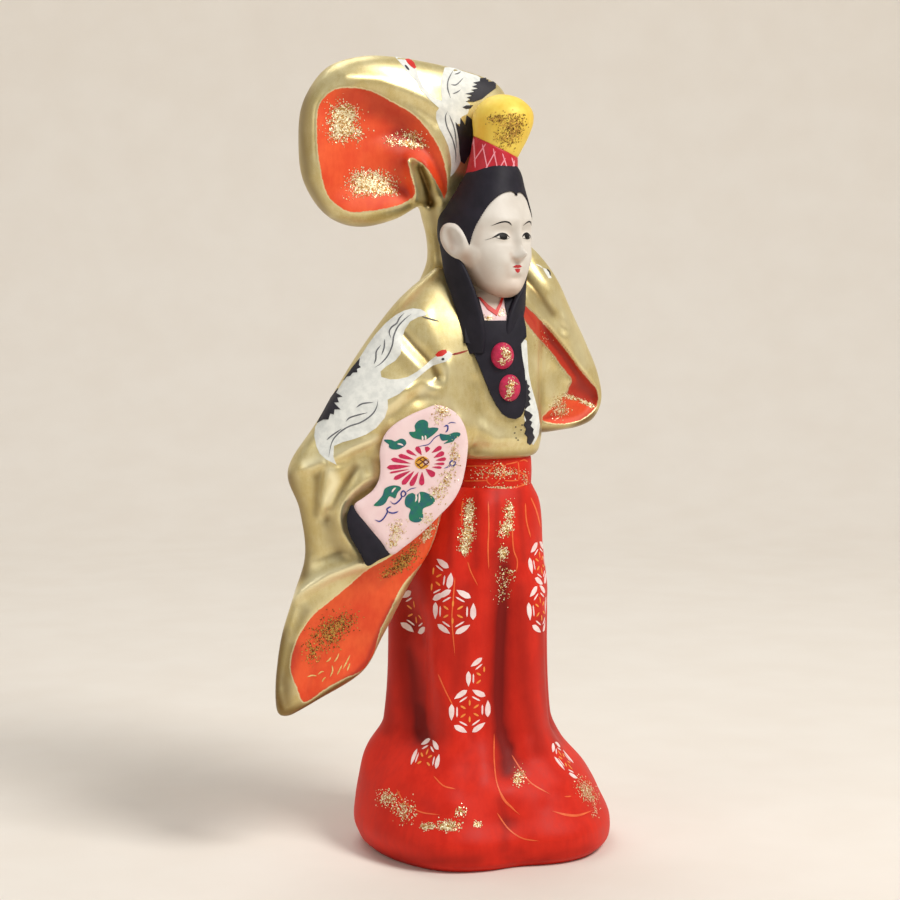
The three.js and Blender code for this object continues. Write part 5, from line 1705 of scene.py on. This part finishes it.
LEAVES = [
    [(409.2, 432.1), (415.3, 431.3), (414.7, 425.5), (418.4, 420.8), (423.7, 419.7), (427.9, 422.4),
     (428.4, 427.6), (433.2, 427.4), (438.4, 428.5), (435.3, 432.9), (430, 437.1), (424.7, 439.7),
     (416.3, 438.7), (411.6, 436.6)],
    [(384.2, 439.7), (391, 439.7), (395.3, 441.3), (400.5, 438.7), (404.7, 439.7), (406.3, 443.4),
     (403.7, 446.6), (398.4, 449.2), (392.1, 449.2), (388.9, 447.1), (388.9, 444.5), (385.8, 442.4)],
    [(439.5, 434), (443.7, 434.2), (448.4, 434.5), (454.2, 432.4), (459.5, 432.7), (460, 435.5),
     (455.3, 438.7), (453.2, 441.3), (447.9, 442.9), (443.7, 443.6), (447.9, 440.3), (441.6, 440.3)],
    [(373.7, 505), (378.4, 500.3), (382.6, 495), (384.7, 488.7), (391.1, 485.7), (397.4, 485.7),
     (401.1, 488.2), (397.4, 492.9), (395.3, 498.2), (392.1, 497.1), (388.9, 496.6), (385.8, 502.4),
     (381.6, 505.5), (376.3, 506.1)],
    [(404.7, 502.4), (406.3, 496.1), (412.1, 492.9), (416.3, 495), (420.5, 491.8), (426.8, 492.9),
     (433.2, 497.1), (434.7, 501.3), (431.1, 505), (424.7, 507.6), (422.6, 510.3), (423.2, 517.1),
     (420.5, 521.3), (415.3, 522.4), (410, 520.3), (408.9, 515), (410.5, 509.2), (406.3, 506.6)],
]
LEAF_LIGHTS = [
    [(391.6, 492.4), (393.4, 489.6), (396, 487.4)], [(415.4, 493.4), (416.4, 498), (415, 502)],
    [(419, 492.4), (419.4, 498), (418.6, 503)], [(422, 435.6), (422.6, 438), (422.4, 440.4)],
    [(397, 443.8), (400.6, 444.2), (403.4, 445.6)], [(425, 435), (425.6, 437.6), (425.2, 440)],
]
TENDRILS = [
    [(374.7, 519.7), (379.5, 521.3), (383.7, 518.2), (387.4, 511.8), (386.8, 509.2), (389.5, 507.1),
     (391.4, 506.8)],
    [(387.6, 511.4), (390.6, 512.8), (394.2, 512.9), (398.4, 511.3)],
    [(390, 501.3), (394.2, 503.9), (398.4, 501.3), (401.6, 497.1), (401, 493.6), (403.2, 490.8),
     (405.8, 493.4), (404, 496.2), (401.6, 496.4)],
    [(443.7, 426.6), (447.4, 425.5), (447.6, 429.7), (445.3, 432.4)],
    [(444, 468.4), (449.6, 465.8), (450, 462.4), (452.8, 460.6), (455.6, 463), (453, 466),
     (450.4, 465.6)],
]
FINE_TENDRILS = [
    [(417.4, 446.6), (423, 445.6), (429, 444), (434.2, 438.2), (438.4, 435.5), (441, 435.6)],
    [(405.8, 492.4), (410.6, 489), (416.3, 487.6)], [(447.9, 423.6), (451.6, 422.4), (456, 423)],
]
HATCHES = [
    [(415.6, 462), (419.6, 459), (424, 456.6)], [(416.6, 466), (422, 462.4), (427.4, 458.6)],
    [(420, 468.6), (425, 465), (429.2, 462)], [(418, 458.6), (422.6, 461.6), (427.6, 466)],
    [(415.4, 462.6), (418.6, 465.4), (421.6, 468.4)], [(422.4, 456.8), (426, 459.6), (429, 462.4)],
]
petal_parts = [stroke(straight(root, tip), width, fan_tree, 0.12, taper=(0.75, 0.16), unit=1.0)
               for tip, root, width in PETALS]
leaf_parts = [patch(smooth_outline(shape, 4).tolist(), fan_tree, 0.12) for shape in LEAVES]
light_parts = [stroke(path, 1.7, fan_tree, 0.2) for path in LEAF_LIGHTS]
tendril_parts = [stroke(path, 1.35, fan_tree, 0.15, taper=(0.2, 0.2), unit=0.8) for path in TENDRILS]
tendril_parts += [stroke(path, 0.8, fan_tree, 0.12, unit=1.0) for path in FINE_TENDRILS]
disc_parts = [patch(disc(FLOWER, 7.4, 6.4), fan_tree, 0.13)]
hatch_parts = [stroke(path, 1.1, fan_tree, 0.2, unit=1.0) for path in HATCHES]
print("fan painting:", len(petal_parts), "petals,", len(leaf_parts), "leaves")

# %% [markdown]
# ## Skirt pattern
# The skirt has clusters of hexagons: each side is one fat white dash with a thin one inside it, and
# short orange dashes point from the middle to the corners. Drawn over the photograph they would
# stretch where the skirt turns away, so each is laid straight on the skirt in millimetres.

# %% Hexagons
def dash(middle, direction, length):
    """Points of a short straight stroke."""
    ahead = np.array([math.cos(direction), math.sin(direction)])
    one, two = np.array(middle) - ahead * length / 2, np.array(middle) + ahead * length / 2
    return [tuple(one), tuple(np.array(middle)), tuple(two)]


SKIRT_MIDDLE = (-3, 6.2)
HEXAGON_REACH = 7.6
LEAST_NARROWING = 0.45
RAY_START = 20
DASH_LENGTH = 0.82
# place of the thin dash and of the orange one on the way from the middle to a side
THIN_PLACE = 0.7
EMBER_PLACE = 0.42


def into_skirt(pixel):
    """Rays straight into the skirt round the spot of a pixel, by millimetres across it and down, and
    how much the skirt turns away from the camera there."""
    origin, direction = from_photo(*pixel)
    near = origin + direction * CAMERA_DEPTH
    spot = skirt_tree.ray_cast(origin, direction)[0] or skirt_tree.find_nearest(near)[0]
    out = Vector((spot.x - SKIRT_MIDDLE[0], spot.y - SKIRT_MIDDLE[1], 0)).normalized()
    right = Vector((0, 0, 1)).cross(out)

    def rays(across, down):
        return spot + right * across - Vector((0, 0, down)) + out * RAY_START, -out

    return rays, max(LEAST_NARROWING, right.dot(Vector(RIGHTWARD)))


ALL_SIDES = (0, 1, 2, 3, 4, 5)
# middle, reach across and down, and the sides that are painted, counted clockwise from the right
HEXAGONS = [
    ((452.6, 612.3), 17.6, 19.4, ALL_SIDES), ((432.5, 579), 18.6, 18, (0, 1, 5)),
    ((415.4, 612), 17, 19, (1, 2, 4)), ((540.4, 563), 9, 19, ALL_SIDES), ((541, 609), 9, 21, ALL_SIDES),
    ((469.6, 711), 17.2, 19, ALL_SIDES), ((484, 677), 16, 18, (3, 4)),
    ((424.8, 759.6), 12.6, 15.6, (3, 4, 5, 0)), ((564.6, 760), 6.6, 15, (0, 2, 3, 4, 5)),
]
dash_parts, ember_parts = [], []
for middle, across, down, sides in HEXAGONS:
    rays, narrowing = into_skirt(middle)
    wide = min(across * PIXEL / narrowing, HEXAGON_REACH)
    tall = down * PIXEL
    for side in range(6):
        angle = math.radians(60 * side)
        reach = np.array([math.cos(angle) * wide, math.sin(angle) * tall])
        slant = math.atan2(math.cos(angle) * tall, -math.sin(angle) * wide)
        length = DASH_LENGTH * math.hypot(math.sin(angle) * wide, math.cos(angle) * tall)
        if side in sides:
            fat = dash(reach, slant, length)
            dash_parts.append(stroke(fat, 0.29 * wide, skirt_tree, 0.14, rays, (0.5, 0.28), 0.7))
            thin = dash(reach * THIN_PLACE, slant, length * 0.64)
            dash_parts.append(stroke(thin, 0.57, skirt_tree, 0.12, rays, (0.2, 0.2), 0.7))
        if side in sides or (side + 1) % 6 in sides:
            angle = math.radians(60 * side + 30)
            reach = np.array([math.cos(angle) * wide, math.sin(angle) * tall])
            ember = dash(reach * EMBER_PLACE, math.atan2(reach[1], reach[0]), 0.35 * wide)
            ember_parts.append(stroke(ember, 0.68, skirt_tree, 0.12, rays, (0.25, 0.25), 0.5))
print("hexagons:", len(dash_parts), "white dashes,", len(ember_parts), "orange dashes")

# %% [markdown]
# Thin orange lines follow the folds of the skirt, and a bow of the same lines is drawn on the
# waistband. They run as the photograph shows them, so here its pixels serve as they are.

# %% Fold lines and bow
FOLD_LINES = [
    [(463, 500.8), (461.8, 508.9), (461.8, 526)], [(467.6, 561.7), (471, 572), (477.9, 585.8)],
    [(488.2, 500.8), (488.8, 526), (488, 549), (488.8, 570)],
    [(508.9, 499.7), (511.8, 526), (513.5, 549), (517.2, 560.5), (516.4, 573)],
    [(525.2, 503), (526.3, 520.4), (530.7, 537.6)], [(530.7, 497.4), (536.4, 511.2), (540.4, 527)],
    [(455, 577), (453, 602), (452, 621), (455, 656)], [(438, 674), (445, 690), (453.8, 707.5)],
    [(433.6, 776), (443.2, 785.6), (455.5, 789.1)],
    [(396.8, 789.1), (404.6, 802.3), (420.4, 811.9), (440.6, 814.9)],
    [(494.1, 733.9), (494.1, 760.2), (497.3, 784.7), (506.4, 802.3), (520.4, 815.4)],
    [(511.7, 754.9), (520.4, 768.9), (531, 783), (550.3, 794.4)],
    [(564.3, 796.5), (568, 796.6), (571.3, 796.1)],
    [(496.8, 812.8), (508.2, 828.6), (522.2, 838.2), (539.7, 841.2)],
]
BROAD_LINES = [
    [(552, 811.1), (566, 814.8), (578.3, 815.4), (593.2, 810.2)], [(498, 788), (505, 801), (515, 810)],
]
BOW = [
    [(466.4, 466.2), (479, 466), (492.4, 466.2)], [(463.6, 480.8), (475, 480.9), (487, 480.4)],
    [(492.2, 486), (487.2, 481.6), (487.6, 476.7), (491.7, 468.7), (496, 464.2), (502.6, 464.4),
     (503.1, 469), (502.4, 474.4), (498.6, 480.6), (492.2, 486)],
    [(505.4, 464.4), (511, 463.4), (518, 461.6)], [(518, 461.6), (518.9, 470), (518.7, 480.2)],
    [(504.3, 480.4), (511, 480.8), (518.7, 480.2)], [(504.6, 464.4), (504.6, 472), (504.3, 480.4)],
    [(510, 466), (510.6, 471), (510, 478)], [(519.4, 461.4), (524, 459.8), (528, 462)],
    [(519.4, 472.1), (525.4, 475), (527.4, 480.6), (524.6, 484.2), (520.4, 483.6)],
    [(477, 488.2), (489, 489), (502, 488.4), (516, 487), (527, 484)],
]
line_parts = [stroke(path, 1.25, skirt_tree, 0.1, taper=(0.1, 0.2)) for path in FOLD_LINES]
line_parts += [stroke(path, 2.4, skirt_tree, 0.12, taper=(0.4, 0.4)) for path in BROAD_LINES]
line_parts += [stroke(path, 1.2, band_tree, 0.1, taper=(0.08, 0.08), unit=1.4) for path in BOW]
print("orange lines:", len(line_parts))

# %% [markdown]
# ## Face paint
# The face is drawn last, with a fine brush. Over the photograph its two halves would differ by the
# turn of the head, so brows, eyes and lips are drawn in the head's own measure, and mirrored.

# %% Brows, eyes and lips
def toward_face(across, level):
    """Ray toward the face, at a place across it and a level."""
    start = on_plane(HEAD_PLANE, np.array([across]), level, 60)[0]
    aim = on_plane(HEAD_PLANE, np.array([across]), level, 0)[0]
    return Vector(start), (Vector(aim) - Vector(start)).normalized()


UPPER_LID = [(3.2, 232.7), (4.6, 233.8), (6.4, 234.3), (8.0, 234.0), (9.4, 233.3), (10.5, 232.9)]
LOWER_LID = [(3.4, 232.6), (5.0, 232.3), (6.8, 232.2), (8.6, 232.6), (9.8, 233.1)]
LASH = [(9.6, 233.0), (11.0, 232.5), (12.6, 231.9)]
BROW = [(3.0, 237.2), (5.2, 238.5), (7.8, 238.5), (10.9, 237.1)]
MOUTH_SHIFT = 0.4
UPPER_LIP = [
    (-2.3, 222), (-1.4, 222.5), (-0.5, 222.75), (0, 222.45), (0.5, 222.75), (1.4, 222.5), (2.3, 222),
    (0, 221.5),
]
LOWER_LIP = [(-1.4, 221.2), (0, 221.3), (1.4, 221.2), (0.9, 220.2), (0, 219.7), (-0.9, 220.2)]
MOUTH_LINE = [(1.2, 221.6), (2.2, 221.8), (2.9, 222.1)]
IRIS = (6.4, 233.2)


def fine(path, width):
    """A line of the finest brush."""
    return stroke(path, width, face_tree, 0.07, toward_face, (0.3, 0.4), 0.35)


ink_parts = []
for line, width in ((UPPER_LID, 0.72), (LOWER_LID, 0.2), (BROW, 0.52), (LASH, 0.14)):
    ink_parts += [fine(line, width), fine([(-x, z) for x, z in line], width)]
ink_parts += [patch(disc((side * IRIS[0], IRIS[1]), 1.7, 1.16), face_tree, 0.08, toward_face, 0.5)
              for side in (-1, 1)]
lip_parts = [patch([(x + MOUTH_SHIFT, z) for x, z in shape], face_tree, 0.07, toward_face, 0.6)
             for shape in (UPPER_LIP, LOWER_LIP)]
lip_parts.append(fine(MOUTH_LINE, 0.16))
print("face:", len(ink_parts), "ink strokes,", len(lip_parts), "red")

# %% [markdown]
# The crimson band of the cap has a lattice of crossing pink lines. They are strokes too, and each
# one runs straight from edge to edge.

# %% Lattice on the cap band
LATTICE = [
    [(473.6, 138), (475.3, 168)], [(482.4, 144), (488.1, 172)], [(493.2, 148), (499.3, 178)],
    [(502.3, 153), (511.5, 182)], [(511.5, 157), (518, 178)], [(486, 143.6), (473.8, 161.2)],
    [(495.7, 151), (484, 172)], [(505.6, 158), (495.2, 175.5)], [(514.6, 160), (509.4, 182)],
    [(474.6, 139), (470.4, 148)],
]
lattice_parts = [stroke(straight(*line), 1.1, cap_tree, 0.08, taper=(0.06, 0.06)) for line in LATTICE]
print("lattice:", len(lattice_parts), "lines")

# %% [markdown]
# ## Gold dust
# Flakes of brass leaf are sprinkled on wet glue in small patches. A speckled paint would do from
# afar, but real flakes each flash or go dark, so each is a tiny five-sided plate with its own tilt.

# %% Zones of gold dust
# column, row, half width, half height, turn in degrees, number of flakes
ROBE_DUST = [
    (343, 122, 14, 17, 0, 1000), (346, 113, 12, 10, 0, 380), (338, 132, 10, 9, 0, 300),
    (356, 133, 10, 10, 0, 150), (410, 144.4, 15, 3.6, 8, 420), (412, 136, 13, 5, 8, 170),
    (392, 140, 8, 5, 0, 60), (372, 186, 22, 9, -8, 1000), (362, 179, 13, 10, 0, 420),
    (386, 191, 11, 4, 12, 190), (378, 175, 12, 7, 0, 120), (427, 534, 5, 12, 38, 220),
    (570, 397, 9, 2.4, 17, 190), (587, 403.6, 10, 2.4, 24, 200), (558, 404, 8, 7, -40, 240),
    (561, 412, 9, 6, -30, 130), (545, 345, 10, 16, -40, 40), (341, 117, 10, 12, 0, 420),
    (346, 129, 9, 8, 0, 220), (367, 184, 14, 7, 0, 420), (384, 190, 10, 5, 0, 180),
]
DARK_DUST = [
    (330, 632, 20, 13, -32, 700), (313, 652, 10, 12, 0, 180), (344, 622, 14, 9, -30, 200),
    (404, 560, 15, 8, -40, 420), (391, 571, 12, 6, -30, 120), (413, 548, 6, 7, 0, 60),
]
FLECKS = [
    [(307, 677), (312, 675.4), (317, 676)], [(318, 674.6), (321, 672), (324, 671.4)],
    [(322, 682), (323.6, 679), (326, 677)], [(330, 677), (332.6, 671), (332, 665)],
    [(337, 675), (339.6, 670), (342, 665)], [(343, 669), (346.6, 662), (350, 655)],
    [(347, 671), (348.6, 667), (350, 663)], [(326, 662), (329, 660), (331, 657)],
    [(334, 662), (337, 658), (339, 653)],
]
SKIRT_DUST = [
    (469, 513, 5.4, 13, 5, 430), (467, 534, 6.4, 13, 6, 470), (464.6, 549, 5.6, 6, 0, 170),
    (509, 512, 4.8, 12, 0, 230), (506, 528, 6, 9, 24, 260), (502.8, 553, 4.8, 7, 0, 200),
    (503, 583, 8, 20, 0, 130), (511, 572, 4, 5, 0, 20), (387, 798, 9, 8, 0, 220),
    (404, 810, 13, 11, 40, 260), (448.5, 826, 12, 5, 3, 420), (427, 826.6, 7, 4, 0, 150),
    (477.5, 824, 3.6, 3.2, 0, 80), (518, 777, 6, 8, 20, 200), (587, 791, 8, 15, -32, 520),
    (595, 813, 3, 5, 0, 30), (460, 812, 6, 6, 0, 80),
]
BAND_DUST = [
    (504, 472, 14, 6, 0, 140), (497, 470, 8, 8, 0, 60), (525, 477, 4, 8, 0, 50),
    (505, 488, 24, 1.6, 0, 170), (480, 474, 9, 6, 0, 50),
]
FAN_DUST = [
    (442, 411, 8, 5, 20, 150), (437, 419, 7, 5, 0, 50), (454, 455, 6, 14, 0, 130),
    (447, 478, 7, 12, 20, 150), (438, 492, 8, 9, 0, 130), (396, 531, 9, 11, 20, 170),
    (428, 520, 7, 8, 0, 60), (393, 543, 5, 5, 0, 60),
]
CROWN_DUST = [
    (512, 130, 12, 11, 0, 330), (500, 119, 14, 6, 0, 150), (517, 121, 9, 9, 0, 110),
    (503, 140, 12, 8, 20, 90),
]
POMPOM_DUST = [
    (506, 354, 5, 7, -20, 150), (502, 361, 4, 4, 0, 50), (511, 385, 5, 8, 20, 130),
    (509, 394, 4, 5, 0, 70),
]
COLLAR_DUST = [(489, 318, 7, 3, 0, 50), (501, 312, 4, 6, 0, 40)]
all_dust = ROBE_DUST + DARK_DUST + SKIRT_DUST + BAND_DUST + FAN_DUST + CROWN_DUST + POMPOM_DUST + COLLAR_DUST
print(len(all_dust), "zones,", sum(zone[5] for zone in all_dust), "flakes,", len(FLECKS), "flecks")

# %% [markdown]
# Flakes fall thickest in the middle of a zone and thin out from there, as they do from a sieve. One
# seed serves all zones, so the dust is the same each time.

# %% Sprinkle the flakes
FLAKE_RADIUS = (0.11, 0.32)
FLAKE_TILT = 0.34
FLAKE_THICKNESS = 0.06
FLAKE_HEIGHT = 0.14
random.seed(7)


def sprinkled(name, zones, tree):
    """Small plates scattered in zones of the photograph, lying on a skin."""
    batches = []
    for column_middle, row_middle, half_across, half_up, turn, count in zones:
        angle = math.radians(turn)
        batch = bmesh.new()
        for _ in range(count):
            a, b = random.gauss(0, 0.5) * half_across, random.gauss(0, 0.5) * half_up
            across = a * math.cos(angle) - b * math.sin(angle)
            up = a * math.sin(angle) + b * math.cos(angle)
            origin, direction = from_photo(column_middle + across, row_middle + up)
            hit, normal, _, _ = tree.ray_cast(origin, direction)
            if hit is None or normal.dot(direction) > 0:
                continue
            lean = Vector([random.gauss(0, FLAKE_TILT) for _ in range(3)])
            upright = (normal + lean * 0.6).normalized().to_track_quat("Z", "Y").to_matrix().to_4x4()
            radius = random.uniform(*FLAKE_RADIUS)
            spin = Matrix.Rotation(random.uniform(0, math.tau), 4, "Z")
            place = Matrix.Translation(hit + normal * FLAKE_HEIGHT) @ upright @ spin
            bmesh.ops.create_cone(batch, cap_ends=True, segments=5, radius1=radius, radius2=radius * 0.92,
                                  depth=FLAKE_THICKNESS, matrix=place)
        batches.append(batch)
    made = gathered(name, batches)
    measure(made)
    return made


dusts = [
    sprinkled("dust_robe", ROBE_DUST, robe_tree),
    sprinkled("dust_skirt", SKIRT_DUST, skirt_tree),
    sprinkled("dust_sleeve", DARK_DUST, robe_tree),
    sprinkled("dust_waistband", BAND_DUST, band_tree),
    sprinkled("dust_fan", FAN_DUST, fan_tree),
    sprinkled("dust_cap", CROWN_DUST, surface(cap_crown)),
    sprinkled("dust_pompoms", POMPOM_DUST, surface(pompoms)),
    sprinkled("dust_collar", COLLAR_DUST, surface(collar)),
]
fleck_parts = [stroke(path, 1.3, robe_tree, 0.12, unit=1.0) for path in FLECKS]

# %% [markdown]
# ## Putting it together
# Every piece gets its paint. Skins take the place of the CAD nodes that they refine, and painted
# marks only ride along. The base plate stays the CAD's own, under its clay finish. The flakes differ
# in tone from one to the next, because a texture cell of about their size picks it.

# %% Finishes for the flakes
def flakes(name, dull, bright, metallic):
    """Brass leaf, with a tone of its own for each flake."""
    finish = Finish(name, 0.38, metallic=metallic)
    glow = finish.grains(0.5)
    finish.set(Base_Color=finish.blend(glow.step(0.1, 0.75), paint(dull), paint(bright)))
    return finish


FLAKES = flakes("dust_gold", "#c08c34", "#fff6cf", 0.4)
# darker bronze flakes; on the cap they also stand in for flakes lying in shade, as painted shade
BRONZE_AND_SHADED_FLAKES = flakes("dust_bronze_and_shade", "#5e3a12", "#d8ab54", 0.6)
DULL_DUST = ("dust_sleeve", "dust_cap")
print("paints:", len(bpy.data.materials))

# %% Slots and bodies
ROBE_NODES = (
    "robe_front", "robe_back", "right_sleeve_front", "right_sleeve_back", "right_sleeve_lining",
    "left_sleeve", "left_sleeve_lining", "raised_sleeve_front", "raised_sleeve_back",
    "raised_sleeve_lining",
)
skins = [
    (robe, GOLD, "gold_paint", ROBE_NODES),
    (skirt, RED, "red_paint", ("skirt_front", "skirt_back")),
    (band, RED, "red_paint", ("waistband",)),
    (face, WHITE, "white_gofun", ("face", "neck")),
    (hair, BLACK, "black_paint", ("hair",)),
    (lock_right, BLACK, "black_paint", ("lock_right",)),
    (lock_left, BLACK, "black_paint", ("lock_left",)),
    (cap_band, CRIMSON, "crimson_paint", ("cap_band",)),
    (cap_crown, YELLOW, "yellow_gold_paint", ("cap_crown",)),
    (bib, BLACK, "black_paint", ("bib",)),
    (collar, PALE, "pink_paint", ("collar",)),
    (under_collar, RED_LINE, "red_paint", ("under_collar",)),
    (pompoms, POMPOM, "crimson_paint", ("pompom_upper", "pompom_lower")),
    (fan, PALE, "pink_paint", ("fan_leaf",)),
    (guard, BLACK, "black_paint", ("fan_guard",)),
]
marks = [
    ("crane_white", white_parts, FEATHER_WHITE), ("crane_black", black_parts, FEATHER_BLACK),
    ("crane_lines", grey_parts, FEATHER_GREY), ("red_marks", red_parts, RED_LINE),
    ("crane_beaks", beak_parts, BEAK), ("flower_petals", petal_parts, PETAL),
    ("flower_disc", disc_parts, DISC), ("flower_hatching", hatch_parts, HATCH),
    ("leaves", leaf_parts, LEAF), ("leaf_lights", light_parts, DASH),
    ("tendrils", tendril_parts, TENDRIL), ("skirt_dashes", dash_parts, DASH),
    ("skirt_embers", ember_parts, DASH_GOLD), ("orange_lines", line_parts, LINE),
    ("face_ink", ink_parts, INK), ("lips", lip_parts, LIP), ("neck_white", neck_parts, WHITE),
    ("cap_lattice", lattice_parts, LATTICE_PINK), ("sleeve_flecks", fleck_parts, PALE_GOLD),
]
for made, finish, slot, nodes in skins:
    made.data.materials.append(finish.material)
    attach(made, "root")
    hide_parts(*nodes)
for name, parts, finish in marks:
    made = gathered(name, parts)
    made.data.materials.append(finish.material)
    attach(made, "root")
for made in dusts:
    made.data.materials.append((BRONZE_AND_SHADED_FLAKES if made.name in DULL_DUST else FLAKES).material)
    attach(made, "root")
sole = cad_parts["base_plate"]
sole.data.materials.clear()
sole.data.materials.append(CLAY.material)
print("pieces:", len(skins) + len(marks) + len(dusts))

# %% [markdown]
# ## Studio
# A pale sweep of paper curves up all round the doll. A plane and a wall would show a line where they
# meet. One large soft lamp hangs high on the camera's right, as in the photograph, a weaker one fills
# the left, and one above lights the back.

# %% Stage and lamps
SWEEP_FLOOR = 1.95
SWEEP_AHEAD = 1.2
SWEEP_BEND = 0.45
SWEEP_WALL = 0.6


def sweep():
    """Round floor, bend and wall, wrapped out of a flat grid. Its middle lies before the doll."""
    sheet = bmesh.new()
    bmesh.ops.create_grid(sheet, x_segments=120, y_segments=70, size=0.5)
    bend_part = SWEEP_BEND * math.pi / 2
    for vertex in sheet.verts:
        turn = vertex.co.x * math.tau
        run = (vertex.co.y + 0.5) * (SWEEP_FLOOR + bend_part + SWEEP_WALL)
        if run < SWEEP_FLOOR:
            out, up = run, 0
        elif run < SWEEP_FLOOR + bend_part:
            angle = (run - SWEEP_FLOOR) / SWEEP_BEND
            out, up = SWEEP_FLOOR + SWEEP_BEND * math.sin(angle), SWEEP_BEND * (1 - math.cos(angle))
        else:
            out, up = SWEEP_FLOOR + SWEEP_BEND, SWEEP_BEND + run - SWEEP_FLOOR - bend_part
        vertex.co = Vector((out * math.sin(turn), out * math.cos(turn) - SWEEP_AHEAD, up - 0.0002))
    bmesh.ops.remove_doubles(sheet, verts=sheet.verts, dist=1e-5)
    bmesh.ops.rotate(sheet, verts=sheet.verts, matrix=Matrix.Rotation(CAMERA_TURN, 3, "Z"))
    return piece("sweep", sheet, 1)


paper = sweep()
PAPER = Finish("paper", 0.9)
clouds = PAPER.noise(40, 3, 0.5).step(0.2, 0.8)
PAPER.set(Base_Color=PAPER.blend(clouds, paint("#e9e2d8"), paint("#ece6dd")))
paper.data.materials.append(PAPER.material)
DOLL_MIDDLE = (0, 0, 0.16)


def lamp(name, right, ahead, up, size, power_watts, colour=(1, 1, 1)):
    """Square soft lamp aimed at the doll, placed in metres from it in the camera's directions."""
    data = bpy.data.lights.new(name, "AREA")
    data.size = size
    data.energy = power_watts
    data.color = colour
    made = bpy.data.objects.new(name, data)
    forward = Vector((math.sin(-CAMERA_TURN), math.cos(CAMERA_TURN), 0))
    made.location = Vector(RIGHTWARD) * right + forward * ahead + Vector((0, 0, up))
    made.rotation_euler = (Vector(DOLL_MIDDLE) - made.location).to_track_quat("-Z", "Y").to_euler()
    bpy.context.scene.collection.objects.link(made)


lamp("key", 0.72, -0.55, 1.15, 0.45, 14.5, (1, 0.97, 0.93))
lamp("fill", -1.1, -0.9, 0.7, 0.9, 3, (1, 0.98, 0.96))
lamp("top", -0.3, 0.6, 1.3, 0.8, 5)
world = bpy.data.worlds.new("world")
world.use_nodes = True
world.node_tree.nodes["Background"].inputs["Color"].default_value = (1, 0.98, 0.95, 1)
world.node_tree.nodes["Background"].inputs["Strength"].default_value = 0.3
bpy.context.scene.world = world
bpy.context.scene.view_settings.view_transform = "Standard"
print("stage and", len(bpy.data.lights), "lamps")
